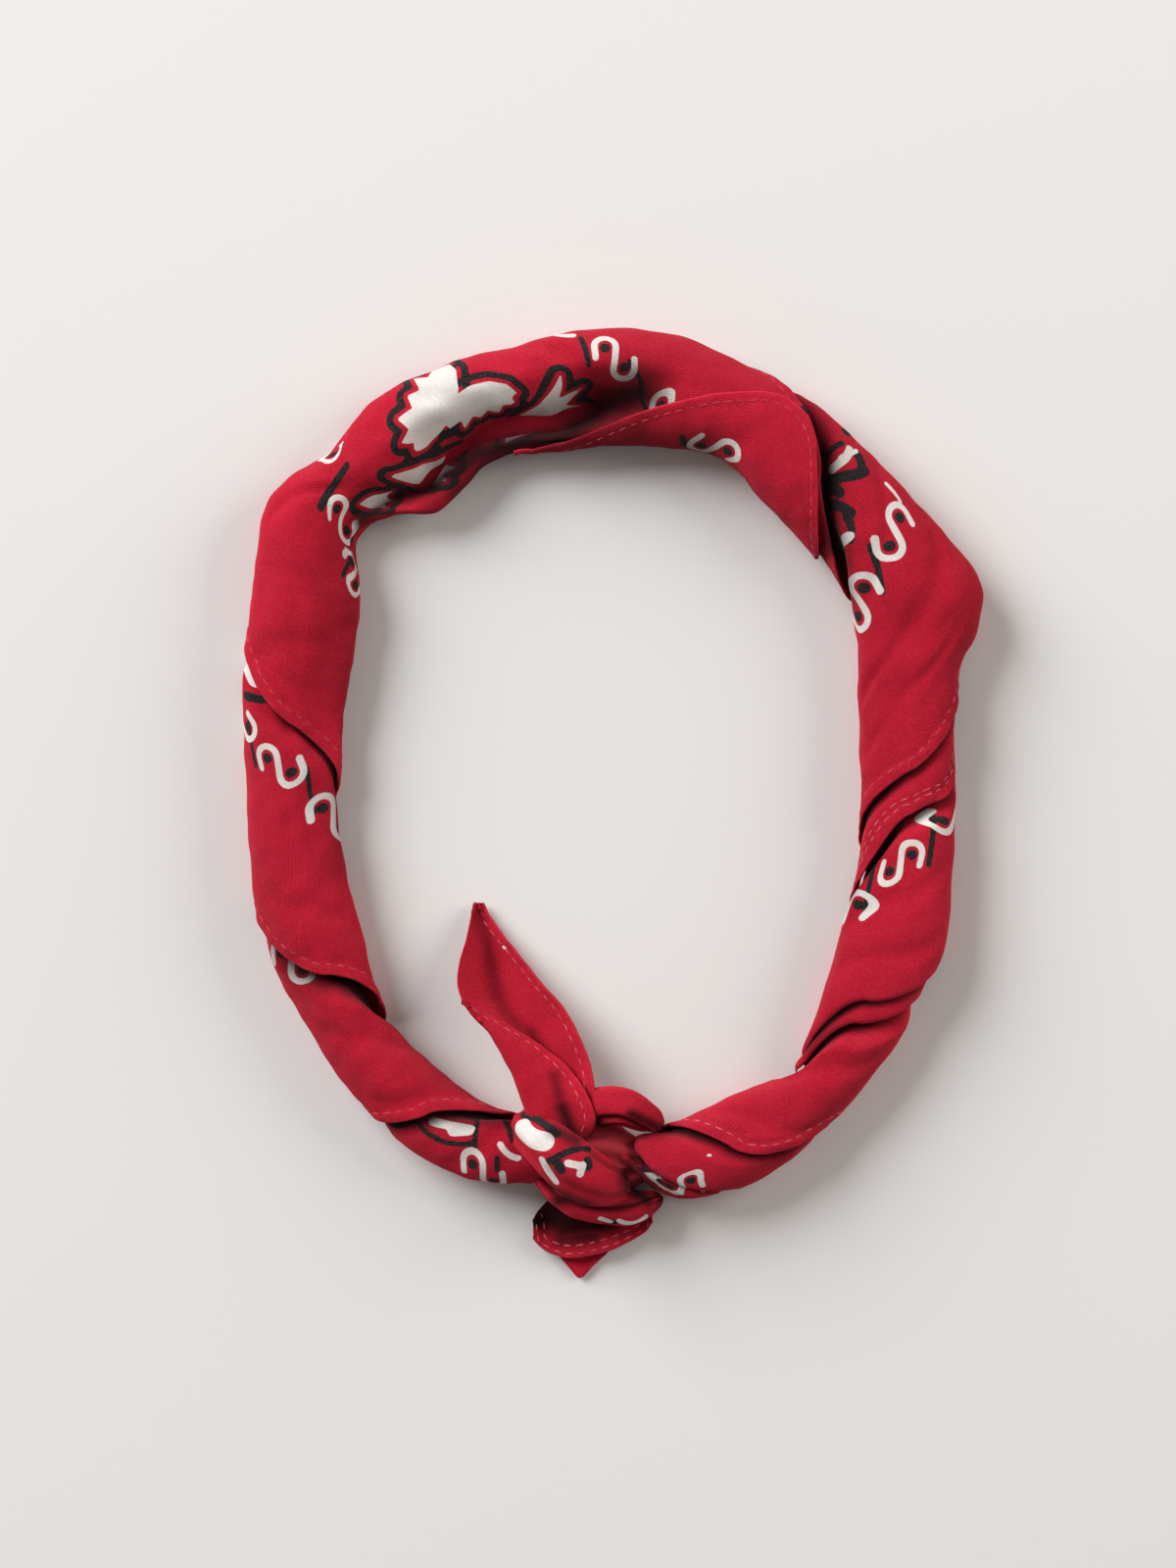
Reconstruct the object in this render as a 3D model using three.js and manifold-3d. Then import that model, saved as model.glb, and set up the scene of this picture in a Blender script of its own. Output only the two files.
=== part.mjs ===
// A square cotton bandana rolled on its diagonal, knotted into a ring and laid flat.
// Millimetres, +Z up, the underside rests on Z = 0. The knot and its tails lie towards -Y.
// The rolled band is a wound strip, so each stretch that shows is a wall of its own,
// running from under its neighbour's hem to its own hem, all the way round the band.
// The layers that nothing shows share one rounded solid, the inner roll.
import * as THREE from "three";
import Module from "manifold-3d";
import { mergeVertices } from "three/addons/utils/BufferGeometryUtils.js";

const wasm = await Module();
wasm.setup();

const WALL = 1.2; // one stretch of cloth, a single ply with its pad of rolled layers
const GAP = 0.4; // air between two stretches that lie on each other
const LAYER = WALL + GAP;
const CLEARANCE = 0.35; // air left round a piece that is cut free of its neighbours
const SEAM = 0.006; // share of the girth left open at the underside, where a turn ends
const SECTION_POWER = 2.4; // 2 is an ellipse, more is boxier
const UNDERSIDE_FLATNESS = 1.3; // the lower half is pressed flat where it rests
const RING_CENTRE = { x: -1.2, y: 12 };
const RING_RADIUS = 110; // about the middle of the band
const GIRTH_STEPS = 16;
const DEGREES = Math.PI / 180;

const CLOTH = new THREE.Color(0xb3122f);
const CLOTH_DARK = new THREE.Color(0x8c0f26);

// The band seen from above, by the angle round the ring (0 is +X, 90 is +Y, the knot is at
// -90): distances from the ring's centre to its inner and outer side, and its height.
const BAND = [
  { angle: -91, inner: 106.0, outer: 112.5, height: 12 },
  { angle: -87, inner: 104.6, outer: 115.5, height: 14 },
  { angle: -84, inner: 103.2, outer: 119.4, height: 15.5 },
  { angle: -80, inner: 101.6, outer: 123.2, height: 16 },
  { angle: -70, inner: 98.8, outer: 123.1, height: 16 },
  { angle: -60, inner: 98.6, outer: 118.2, height: 15 },
  { angle: -50, inner: 90.4, outer: 114.0, height: 15 },
  { angle: -40, inner: 82.4, outer: 110.2, height: 16 },
  { angle: -30, inner: 76.4, outer: 106.9, height: 16 },
  { angle: -20, inner: 73.2, outer: 101.2, height: 15.5 },
  { angle: -10, inner: 70.8, outer: 97.3, height: 15 },
  { angle: 0, inner: 69.7, outer: 96.4, height: 15 },
  { angle: 10, inner: 70.4, outer: 98.3, height: 15 },
  { angle: 15, inner: 71.4, outer: 101.4, height: 15.5 },
  { angle: 20, inner: 73.3, outer: 109.0, height: 16 },
  { angle: 25, inner: 76.0, outer: 113.6, height: 16.5 },
  { angle: 32, inner: 78.9, outer: 112.2, height: 17 },
  { angle: 40, inner: 81.0, outer: 110.6, height: 17 },
  { angle: 50, inner: 82.8, outer: 111.0, height: 17 },
  { angle: 60, inner: 85.6, outer: 113.8, height: 18 },
  { angle: 70, inner: 90.9, outer: 115.0, height: 18 },
  { angle: 80, inner: 89.2, outer: 118.2, height: 18 },
  { angle: 90, inner: 88.3, outer: 118.9, height: 18 },
  { angle: 100, inner: 87.9, outer: 117.2, height: 18 },
  { angle: 112, inner: 87.6, outer: 117.4, height: 17.5 },
  { angle: 120, inner: 83.6, outer: 118.3, height: 17 },
  { angle: 125, inner: 82.8, outer: 117.8, height: 16.5 },
  { angle: 132, inner: 90.0, outer: 115.2, height: 16.5 },
  { angle: 138, inner: 91.5, outer: 117.6, height: 16.5 },
  { angle: 143, inner: 85.5, outer: 117.5, height: 17 },
  { angle: 150, inner: 79.2, outer: 111.8, height: 17 },
  { angle: 160, inner: 75.1, outer: 105.6, height: 16.5 },
  { angle: 170, inner: 73.7, outer: 102.1, height: 16 },
  { angle: 180, inner: 73.2, outer: 99.8, height: 15.5 },
  { angle: 190, inner: 75.4, outer: 100.4, height: 15.5 },
  { angle: 200, inner: 77.4, outer: 104.0, height: 15.5 },
  { angle: 210, inner: 80.4, outer: 107.8, height: 15.5 },
  { angle: 220, inner: 86.0, outer: 110.6, height: 15 },
  { angle: 230, inner: 93.6, outer: 114.6, height: 15 },
  { angle: 240, inner: 97.2, outer: 119.4, height: 15 },
  { angle: 250, inner: 100.6, outer: 121.8, height: 15 },
  { angle: 258, inner: 101.5, outer: 119.5, height: 14 },
  { angle: 264, inner: 102.0, outer: 117.0, height: 12 },
];

// Where each hem or fold edge crosses the band, as angles round the ring. A turn starts at
// the underside, climbs the outer side, crosses the top, and goes down the inner side.
const EDGES = {
  crownRightHem: { start: 80, outer: 67.4, top: 53.3, inner: 36, end: 28 },
  crownLeftHem: { start: 152, outer: 162, top: 173.8, inner: 185.4, end: 195 },
  rightUpperHem: { start: 28, outer: 11.4, top: -2.2, inner: -15, end: -31.5 },
  rightStripHem: { start: 29, outer: -1.6, top: -10.5, inner: -29.5, end: -32.5 },
  rightMidFold: { start: -31.5, outer: -33, top: -42.8, inner: -55.5, end: -57.5 },
  rightCurlHem: { start: -34, outer: -37.3, top: -46.6, inner: -58, end: -59 },
  rightLowHem: { start: -57.8, outer: -58.2, top: -71, inner: -81, end: -83 },
  rightEndFold: { start: -74, outer: -73, top: -85, inner: -86, end: -85.5 },
  rightTipEnd: { start: -84, outer: -84.5, top: -88.4, inner: -88.6, end: -87.5 },
  leftMidHem: { start: 195, outer: 204.6, top: 217.5, inner: 227.4, end: 232 },
  leftLowHem: { start: 232, outer: 236.4, top: 243, inner: 255.4, end: 258 },
  leftEndCut: { start: 256, outer: 260, top: 262.5, inner: 262.5, end: 262 },
};

// The stretches of the band, in the order in which they lie on each other, away from the
// middle. under is the neighbour's hem that covers the stretch and edge is its own; tuck is
// how far it runs in under that hem, sunk how deep it lies there, and rise the way that it
// needs to come up again beyond it, in degrees. from and to are the share of the girth.
const STRETCHES = [
  {
    name: "right_upper", under: "crownRightHem", edge: "rightUpperHem",
    tuck: 4, sunk: 3.6, rise: 6, steps: 9,
  },
  {
    name: "right_strip", under: "rightUpperHem", edge: "rightStripHem",
    tuck: 3, sunk: LAYER, rise: 4, steps: 3, rest: 0.7, from: 0.2, to: 0.84,
  },
  {
    name: "right_mid", under: "rightStripHem", edge: "rightMidFold",
    tuck: 5, sunk: 3.3, rise: 4, steps: 7,
  },
  {
    name: "right_curl", under: "rightMidFold", edge: "rightCurlHem",
    tuck: 3, sunk: 1.8, rise: 2, steps: 2, rest: 1.3, from: 0.22, to: 0.84,
  },
  {
    name: "right_low", under: "rightCurlHem", edge: "rightLowHem",
    tuck: 2.6, sunk: 3.7, rise: 4.5, steps: 6,
  },
  {
    name: "right_end", under: "rightLowHem", edge: "rightEndFold",
    tuck: 3, sunk: LAYER, rise: 4, steps: 4,
  },
  {
    name: "right_tip", under: "rightEndFold", edge: "rightTipEnd",
    tuck: 2.4, sunk: 3.4, rise: 1.6, steps: 2, rest: 0.4,
  },
  {
    name: "left_mid", under: "crownLeftHem", edge: "leftMidHem",
    tuck: 4, sunk: LAYER, rise: 5, steps: 8,
  },
  {
    name: "left_low", under: "leftMidHem", edge: "leftLowHem",
    tuck: 3, sunk: 4, rise: 5.5, steps: 6,
  },
  {
    name: "left_end", under: "leftLowHem", edge: "leftEndCut",
    tuck: 3, sunk: 2.4, rise: 4, steps: 5,
  },
];

// The loose corner of the square, folded over the top of the crown: its hem by the angle
// round the ring, as a share of the band's width counted from the inner side.
const FLAP = [
  { angle: 107, across: -0.06 },
  { angle: 101, across: 0.03 },
  { angle: 94, across: 0.1 },
  { angle: 86.7, across: 0.22 },
  { angle: 77.3, across: 0.42 },
  { angle: 71, across: 0.61 },
  { angle: 65.4, across: 0.79 },
  { angle: 60.9, across: 0.8 },
  { angle: 57.5, across: 0.7 },
  { angle: 54.5, across: 0.52 },
  { angle: 49.1, across: 0.22 },
  { angle: 44, across: 0.02 },
];
const FLAP_LOOSE = 0.45; // the flap lies a little looser than the turns
const FLAP_ACROSS_STEPS = 8;
const FLAP_LOWEST = 0.84; // share of the girth where the flap runs out, near the table

// Broad creases that press into the band, from the outer side to the inner side.
const CREASES = [
  { outer: 131, inner: 139, depth: 2.2, width: 4, from: 0.2, to: 0.8 },
  { outer: 14, inner: 30, depth: 1.1, width: 5, from: 0.2, to: 0.62 },
  { outer: 118, inner: 104, depth: 1.6, width: 7, from: 0.48, to: 0.8 },
  { outer: -48, inner: -60, depth: 1.0, width: 3, from: 0.55, to: 0.8 },
];

// How deep the hidden layers lie under the surface; they leave room for the hollows that
// open under the loose hems.
const INNER_ROLL = [
  { angle: -90, depth: 5.6 },
  { angle: -66, depth: 5.8 },
  { angle: -52, depth: 6.2 },
  { angle: -28, depth: 5.4 },
  { angle: 20, depth: 4.9 },
  { angle: 40, depth: 5.3 },
  { angle: 86, depth: 5.3 },
  { angle: 96, depth: 3.4 },
  { angle: 186, depth: 3.4 },
  { angle: 191, depth: 5.7 },
  { angle: 236, depth: 5.7 },
  { angle: 241, depth: 4.2 },
  { angle: 262, depth: 4.2 },
];

// The knot's bundles of rolled cloth: middle line, half width and half height along them.
const KNOT = {
  knot_front_wrap: [
    { x: -24.4, y: -87.6, z: 5.0, halfWidth: 4.8, halfHeight: 3.0 },
    { x: -23.0, y: -89.2, z: 12.5, halfWidth: 6.2, halfHeight: 3.9 },
    { x: -18.4, y: -93.2, z: 18.0, halfWidth: 7.0, halfHeight: 4.4 },
    { x: -11.2, y: -99.4, z: 19.2, halfWidth: 7.8, halfHeight: 4.6 },
    { x: -4.2, y: -104.2, z: 16.0, halfWidth: 7.6, halfHeight: 4.4 },
    { x: 0.8, y: -107.0, z: 9.5, halfWidth: 6.4, halfHeight: 3.8 },
  ],
  knot_back_loop: [
    { x: -8.0, y: -85.6, z: 9.0, halfWidth: 5.4, halfHeight: 3.6 },
    { x: -3.2, y: -83.4, z: 13.6, halfWidth: 5.8, halfHeight: 3.8 },
    { x: 3.4, y: -83.2, z: 15.2, halfWidth: 5.4, halfHeight: 3.6 },
    { x: 9.2, y: -86.2, z: 13.2, halfWidth: 4.6, halfHeight: 3.2 },
    { x: 13.2, y: -89.6, z: 8.4, halfWidth: 3.4, halfHeight: 2.6 },
  ],
  knot_lower_wrap: [
    { x: -20.0, y: -98.2, z: 6.4, halfWidth: 3.4, halfHeight: 3.0 },
    { x: -17.4, y: -104.0, z: 8.6, halfWidth: 4.2, halfHeight: 3.8 },
    { x: -11.6, y: -108.8, z: 9.4, halfWidth: 4.6, halfHeight: 4.0 },
    { x: -3.0, y: -111.2, z: 9.6, halfWidth: 4.8, halfHeight: 4.0 },
    { x: 5.4, y: -111.0, z: 9.2, halfWidth: 5.0, halfHeight: 3.8 },
    { x: 13.6, y: -108.6, z: 7.2, halfWidth: 3.6, halfHeight: 3.2 },
  ],
  knot_core: [
    { x: -14.0, y: -96.0, z: 6.6, halfWidth: 9.0, halfHeight: 6.6 },
    { x: -10.4, y: -97.6, z: 7.6, halfWidth: 13.0, halfHeight: 7.6 },
    { x: -3.6, y: -98.4, z: 7.6, halfWidth: 13.0, halfHeight: 7.6 },
    { x: 3.4, y: -99.0, z: 6.6, halfWidth: 9.0, halfHeight: 6.6 },
    { x: 12.0, y: -99.6, z: 5.2, halfWidth: 6.0, halfHeight: 5.2 },
  ],
};
const KNOT_ROWS = 14;
const KNOT_SIDES = 14;

// The long tail, from its tip down to the knot. It is cupped along a crease, and its left
// side folds over to the right: fold is how far the folded part reaches, as an x position.
const LONG_TAIL = [
  { y: -27.6, left: -38.3, right: -35.4, crease: -36.9, low: 1.6, leftRise: 0.5, rightRise: 0.3 },
  { y: -31.2, left: -38.8, right: -33.8, crease: -36.4, low: 1.8, leftRise: 1.6, rightRise: 0.8 },
  { y: -38.0, left: -40.1, right: -28.8, crease: -33.8, low: 2.4, leftRise: 3.2, rightRise: 1.8 },
  { y: -48.7, left: -42.4, right: -20.1, crease: -31.4, low: 3.4, leftRise: 5.2, rightRise: 3.4 },
  { y: -55.5, left: -39.9, right: -13.9, crease: -29.4, low: 4.6, leftRise: 5.6, rightRise: 4.2 },
  { y: -64.9, left: -32.0, right: -8.4, crease: -22.0, low: 7.0, leftRise: 4.6, rightRise: 4.4 },
  { y: -75.7, left: -26.4, right: -5.0, crease: -16.0, low: 9.4, leftRise: 3.4, rightRise: 4.0 },
  { y: -85.4, left: -23.2, right: -4.2, crease: -13.6, low: 10.6, leftRise: 2.6, rightRise: 3.2 },
  { y: -90.0, left: -20.6, right: -4.8, crease: -12.8, low: 10.2, leftRise: 1.8, rightRise: 2.2 },
  { y: -94.4, left: -16.6, right: -7.2, crease: -12.2, low: 9.4, leftRise: 1.0, rightRise: 1.2 },
];
const LONG_TAIL_FOLD = [
  { y: -54.2, reach: -40.6, lift: 1.8 },
  { y: -58.2, reach: -33.6, lift: 2.2 },
  { y: -64.9, reach: -22.4, lift: 2.8 },
  { y: -70.5, reach: -14.2, lift: 3.2 },
  { y: -75.7, reach: -9.2, lift: 3.4 },
  { y: -81.1, reach: -6.1, lift: 3.4 },
  { y: -86.4, reach: -4.6, lift: 3.2 },
  { y: -91.0, reach: -6.0, lift: 2.8 },
  { y: -94.0, reach: -8.4, lift: 2.2 },
];
const TAIL_ROWS = 13;
const TAIL_ACROSS_STEPS = 8;

// The short tail below the knot: its upper ply and the pointed ply under it, by x.
const SHORT_TAIL_UPPER = [
  { x: -21.6, top: -113.6, bottom: -119.0, z: 3.0 },
  { x: -17.4, top: -109.6, bottom: -124.3, z: 3.4 },
  { x: -12.0, top: -107.6, bottom: -126.0, z: 4.4 },
  { x: -6.0, top: -107.2, bottom: -125.4, z: 3.2 },
  { x: 0.0, top: -107.2, bottom: -123.6, z: 4.2 },
  { x: 5.4, top: -107.6, bottom: -121.2, z: 3.2 },
  { x: 10.8, top: -110.0, bottom: -117.6, z: 3.0 },
];
const SHORT_TAIL_UNDER = [
  { x: -15.6, top: -116.0, bottom: -124.4, z: 0.5 },
  { x: -12.0, top: -114.0, bottom: -128.7, z: 0.5 },
  { x: -8.8, top: -113.0, bottom: -131.7, z: 0.5 },
  { x: -5.0, top: -113.0, bottom: -128.2, z: 0.5 },
  { x: -1.2, top: -114.6, bottom: -124.8, z: 0.5 },
];

const clamp = (value, low, high) => Math.min(high, Math.max(low, value));
const mix = (a, b, share) => a + (b - a) * share;
const smooth = (share) => {
  const t = clamp(share, 0, 1);
  return t * t * (3 - 2 * t);
};

// A smooth reading of one column of a table, at a value of its key column.
function read(rows, key, column, at) {
  const rising = rows[1][key] > rows[0][key];
  const reached = (row) => (rising ? row[key] >= at : row[key] <= at);
  const next = clamp(rows.findIndex(reached), 1, rows.length - 1);
  const i = rows.some(reached) ? next : rows.length - 1;
  const near = [i - 2, i - 1, i, i + 1].map((k) => clamp(k, 0, rows.length - 1));
  const [before, a, b, after] = near.map((k) => rows[k]);
  const t = clamp((at - a[key]) / (b[key] - a[key]), 0, 1);
  const span = b[key] - a[key];
  const slope = (p, q) => (q === p ? 0 : (q[column] - p[column]) / (q[key] - p[key]));
  const m1 = slope(before, b) * span;
  const m2 = slope(a, after) * span;
  return (
    (2 * t ** 3 - 3 * t ** 2 + 1) * a[column] +
    (t ** 3 - 2 * t ** 2 + t) * m1 +
    (3 * t ** 2 - 2 * t ** 3) * b[column] +
    (t ** 3 - t ** 2) * m2
  );
}

// The angle at which an edge crosses the band, at a share of the girth.
function edgeAngle(name, girth) {
  const edge = EDGES[name];
  const places = ["start", "outer", "top", "inner", "end"];
  const rows = places.map((place, k) => ({ girth: k / 4, angle: edge[place] }));
  return read(rows, "girth", "angle", girth);
}

// How far the creases press the surface in at a place on the band.
function creaseDepth(angle, girth) {
  let depth = 0;
  for (const crease of CREASES) {
    const line = mix(crease.outer, crease.inner, (girth - 0.25) * 2);
    const fade = smooth((girth - crease.from) / 0.08) * smooth((crease.to - girth) / 0.08);
    depth += crease.depth * fade * Math.exp(-(((angle - line) / crease.width) ** 2));
  }
  return depth;
}

// A point of the band at an angle round the ring and a share of the girth, sunk by a depth.
// The girth starts at the middle of the underside and climbs the outer side first.
function bandPoint(angle, girth, sunk) {
  const inner = read(BAND, "angle", "inner", angle);
  const outer = read(BAND, "angle", "outer", angle);
  const height = read(BAND, "angle", "height", angle);
  const depth = sunk + creaseDepth(angle, girth);
  const turn = (girth * 360 - 90) * DEGREES;
  const round = (value) => Math.sign(value) * Math.abs(value) ** (2 / SECTION_POWER);
  const across = (outer - inner) / 2 - depth;
  const middle = height / 2;
  const up = round(Math.sin(turn));
  const reach = up < 0 ? middle * UNDERSIDE_FLATNESS : middle;
  const radius = (inner + outer) / 2 + across * round(Math.cos(turn));
  const z = Math.max(sunk, middle + (reach - depth) * up);
  return new THREE.Vector3(
    RING_CENTRE.x + radius * Math.cos(angle * DEGREES),
    RING_CENTRE.y + radius * Math.sin(angle * DEGREES),
    z,
  );
}

// A closed wall between two grids of points of the same size, its outer and its inner side.
function wallBetween(outer, inner) {
  const rows = outer.length;
  const columns = outer[0].length;
  const points = [...outer.flat(), ...inner.flat()];
  const faces = [];
  const at = (side, i, j) => side * rows * columns + i * columns + j;
  const quad = (a, b, c, d) => faces.push(a, b, c, a, c, d);
  for (let i = 0; i < rows - 1; i++) {
    for (let j = 0; j < columns - 1; j++) {
      quad(at(0, i, j), at(0, i + 1, j), at(0, i + 1, j + 1), at(0, i, j + 1));
      quad(at(1, i, j), at(1, i, j + 1), at(1, i + 1, j + 1), at(1, i + 1, j));
    }
  }
  for (let i = 0; i < rows - 1; i++) {
    quad(at(0, i, 0), at(1, i, 0), at(1, i + 1, 0), at(0, i + 1, 0));
    const end = columns - 1;
    quad(at(0, i, end), at(0, i + 1, end), at(1, i + 1, end), at(1, i, end));
  }
  for (let j = 0; j < columns - 1; j++) {
    quad(at(0, 0, j), at(0, 0, j + 1), at(1, 0, j + 1), at(1, 0, j));
    quad(at(0, rows - 1, j), at(1, rows - 1, j), at(1, rows - 1, j + 1), at(0, rows - 1, j + 1));
  }
  return solidFrom(points, faces);
}

// A closed solid through rings of points, with flat ends.
function solidThrough(rings) {
  const sides = rings[0].length;
  const points = rings.flat();
  const faces = [];
  for (let i = 0; i < rings.length - 1; i++) {
    for (let j = 0; j < sides; j++) {
      const k = (j + 1) % sides;
      const [a, b, c, d] = [i * sides + j, i * sides + k, (i + 1) * sides + k, (i + 1) * sides + j];
      faces.push(a, b, c, a, c, d);
    }
  }
  const ends = [0, rings.length - 1];
  ends.forEach((row, side) => {
    const centre = rings[row].reduce((sum, p) => sum.add(p), new THREE.Vector3()).divideScalar(sides);
    points.push(centre);
    for (let j = 0; j < sides; j++) {
      const a = row * sides + j;
      const b = row * sides + ((j + 1) % sides);
      faces.push(...(side === 0 ? [points.length - 1, b, a] : [points.length - 1, a, b]));
    }
  });
  return solidFrom(points, faces);
}

// Points and faces as a solid that can be cut; faces are turned round if they point in.
function solidFrom(points, faces) {
  const geometry = new THREE.BufferGeometry();
  const numbers = points.flatMap((point) => [point.x, point.y, point.z]);
  geometry.setAttribute("position", new THREE.Float32BufferAttribute(numbers, 3));
  geometry.setIndex(faces);
  const merged = mergeVertices(geometry, 1e-3);
  const vertProperties = merged.attributes.position.array;
  const triVerts = new Uint32Array(merged.index.array);
  const solid = new wasm.Manifold(new wasm.Mesh({ numProp: 3, vertProperties, triVerts }));
  if (solid.volume() > 0) {
    return solid;
  }
  const turned = triVerts.slice();
  for (let i = 0; i < turned.length; i += 3) {
    [turned[i + 1], turned[i + 2]] = [turned[i + 2], turned[i + 1]];
  }
  return new wasm.Manifold(new wasm.Mesh({ numProp: 3, vertProperties, triVerts: turned }));
}

// What is left of a solid once others are cut away from it; loose crumbs are dropped.
function cutFree(solid, others) {
  const left = others.reduce((rest, other) => rest.subtract(other), solid);
  return left.decompose().reduce((best, part) => (part.volume() > best.volume() ? part : best));
}

function meshOf(name, solid, color) {
  const { vertProperties, triVerts, numProp } = solid.getMesh();
  const count = vertProperties.length / numProp;
  const positions = new Float32Array(count * 3);
  for (let i = 0; i < count; i++) {
    positions.set(vertProperties.subarray(i * numProp, i * numProp + 3), i * 3);
  }
  const geometry = new THREE.BufferGeometry();
  geometry.setAttribute("position", new THREE.BufferAttribute(positions, 3));
  geometry.setIndex(new THREE.BufferAttribute(triVerts, 1));
  geometry.computeVertexNormals();
  const material = new THREE.MeshStandardMaterial({ color, roughness: 0.9, metalness: 0 });
  const mesh = new THREE.Mesh(geometry, material);
  mesh.name = name;
  return mesh;
}

const evenShares = (from, to, steps) =>
  Array.from({ length: steps + 1 }, (_, j) => mix(from, to, j / steps));

// The crown: the stretch at the middle of the band, with a hem at both of its ends.
function crown() {
  const shares = evenShares(SEAM, 1 - SEAM, GIRTH_STEPS);
  const steps = 24;
  const grid = (sunk) =>
    Array.from({ length: steps + 1 }, (_, i) =>
      shares.map((girth) => {
        const angle = mix(edgeAngle("crownRightHem", girth), edgeAngle("crownLeftHem", girth), i / steps);
        return bandPoint(angle, girth, sunk);
      }),
    );
  return wallBetween(grid(0), grid(WALL));
}

// One stretch, from its tucked start to its own edge, larger all round by grow.
function stretch(name, grow = 0) {
  const row = STRETCHES.find((each) => each.name === name);
  const { under, edge, tuck, sunk, rise, steps, rest = 0, from = SEAM, to = 1 - SEAM } = row;
  const inset = from === SEAM ? GIRTH_STEPS : Math.round(GIRTH_STEPS * (to - from));
  const shares = evenShares(from, to, inset);
  const away = Math.sign(EDGES[edge].top - EDGES[under].top);
  const growAngle = grow / (RING_RADIUS * DEGREES);
  const lines = [-tuck, -0.4 * tuck, 0.3, rise * 0.35, rise * 0.7, rise];
  const last = lines.length - 1;
  const rows = lines.length + steps;
  const place = (i, girth) => {
    const start = edgeAngle(under, girth);
    const span = Math.abs(edgeAngle(edge, girth) - start);
    const reach = Math.min(1, (span - 0.2) / (rise + 1.2));
    const past = i < 3 ? lines[i] : lines[Math.min(i, last)] * reach;
    const beyond = i <= last ? past : mix(rise * reach, span, (i - last) / steps);
    const depth = mix(sunk, rest, smooth((beyond - 0.3) / (rise * reach - 0.3)));
    const ends = growAngle * (i === 0 ? -1 : i === rows - 1 ? 1 : 0);
    return { angle: start + away * (beyond + ends), depth };
  };
  const grid = (inward) =>
    Array.from({ length: rows }, (_, i) =>
      shares.map((girth) => {
        const { angle, depth } = place(i, girth);
        return bandPoint(angle, girth, depth + inward);
      }),
    );
  return wallBetween(grid(-grow), grid(WALL + grow));
}

// The share of the girth at a place across the top of the band, from 0, inner, to 1, outer.
function girthAcross(across) {
  const side = clamp(2 * across - 1, -1, 1);
  const cosine = Math.sign(side) * Math.abs(side) ** (SECTION_POWER / 2);
  return (Math.acos(cosine) / DEGREES + 90) / 360;
}

// The flap: the square's loose corner, from its hem over the inner side to near the table.
function flap() {
  const steps = 20;
  const first = FLAP[0].angle;
  const last = FLAP[FLAP.length - 1].angle;
  const grid = (sunk) =>
    Array.from({ length: steps + 1 }, (_, i) => {
      const angle = mix(first, last, i / steps);
      const hem = Math.max(girthAcross(read(FLAP, "angle", "across", angle)), 0.3);
      const hemOrSide = Math.min(hem, FLAP_LOWEST - 0.1);
      const shares = evenShares(hemOrSide, FLAP_LOWEST, FLAP_ACROSS_STEPS);
      return shares.map((girth) => bandPoint(angle, girth, sunk));
    });
  return wallBetween(grid(-LAYER - FLAP_LOOSE), grid(-GAP - FLAP_LOOSE));
}

// The hidden layers of the band.
function innerRoll() {
  const [first, last, step] = [-80, 254, 6];
  const count = Math.round((last - first) / step);
  const depthAt = (angle) => read(INNER_ROLL, "angle", "depth", angle);
  const rings = Array.from({ length: count + 1 }, (_, i) => {
    const angle = mix(first, last, i / count);
    const shares = evenShares(0, 1 - 1 / GIRTH_STEPS, GIRTH_STEPS - 1);
    return shares.map((girth) => bandPoint(angle, girth, depthAt(angle)));
  });
  return solidThrough(rings);
}

// A bundle of rolled cloth along a middle line, larger all round by grow.
function bundle(rows, grow = 0) {
  const points = rows.map((row) => new THREE.Vector3(row.x, row.y, row.z));
  const curve = new THREE.CatmullRomCurve3(points);
  const table = rows.map((row, i) => ({ ...row, share: i / (rows.length - 1) }));
  const up = new THREE.Vector3(0, 0, 1);
  const rings = Array.from({ length: KNOT_ROWS + 1 }, (_, i) => {
    const share = i / KNOT_ROWS;
    const along = curve.getTangent(share);
    const side = new THREE.Vector3().crossVectors(along, up).normalize();
    const normal = new THREE.Vector3().crossVectors(side, along).normalize();
    const rounding = Math.sqrt(1 - Math.abs(2 * share - 1) ** 6) * 0.55 + 0.45;
    const halfWidth = read(table, "share", "halfWidth", share) * rounding + grow;
    const halfHeight = read(table, "share", "halfHeight", share) * rounding + grow;
    const endward = grow * (i === 0 ? -1 : i === KNOT_ROWS ? 1 : 0);
    const centre = curve.getPoint(share).addScaledVector(along, endward);
    return Array.from({ length: KNOT_SIDES }, (_, j) => {
      const turn = (j / KNOT_SIDES) * 2 * Math.PI;
      const point = centre
        .clone()
        .addScaledVector(side, Math.cos(turn) * halfWidth)
        .addScaledVector(normal, Math.sin(turn) * halfHeight);
      point.z = Math.max(point.z, grow > 0 ? -grow : 0);
      return point;
    });
  });
  return solidThrough(rings);
}

// The height of the long tail's cupped sheet at a row, by the share from right to left.
function tailHeight(y, share) {
  const left = read(LONG_TAIL, "y", "left", y);
  const right = read(LONG_TAIL, "y", "right", y);
  const crease = (right - read(LONG_TAIL, "y", "crease", y)) / (right - left);
  const low = read(LONG_TAIL, "y", "low", y);
  const leftRise = read(LONG_TAIL, "y", "leftRise", y);
  const rightRise = read(LONG_TAIL, "y", "rightRise", y);
  const away = share < crease ? (crease - share) / crease : (share - crease) / (1 - crease);
  return low + (share < crease ? rightRise : leftRise) * away ** 1.3;
}

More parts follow.
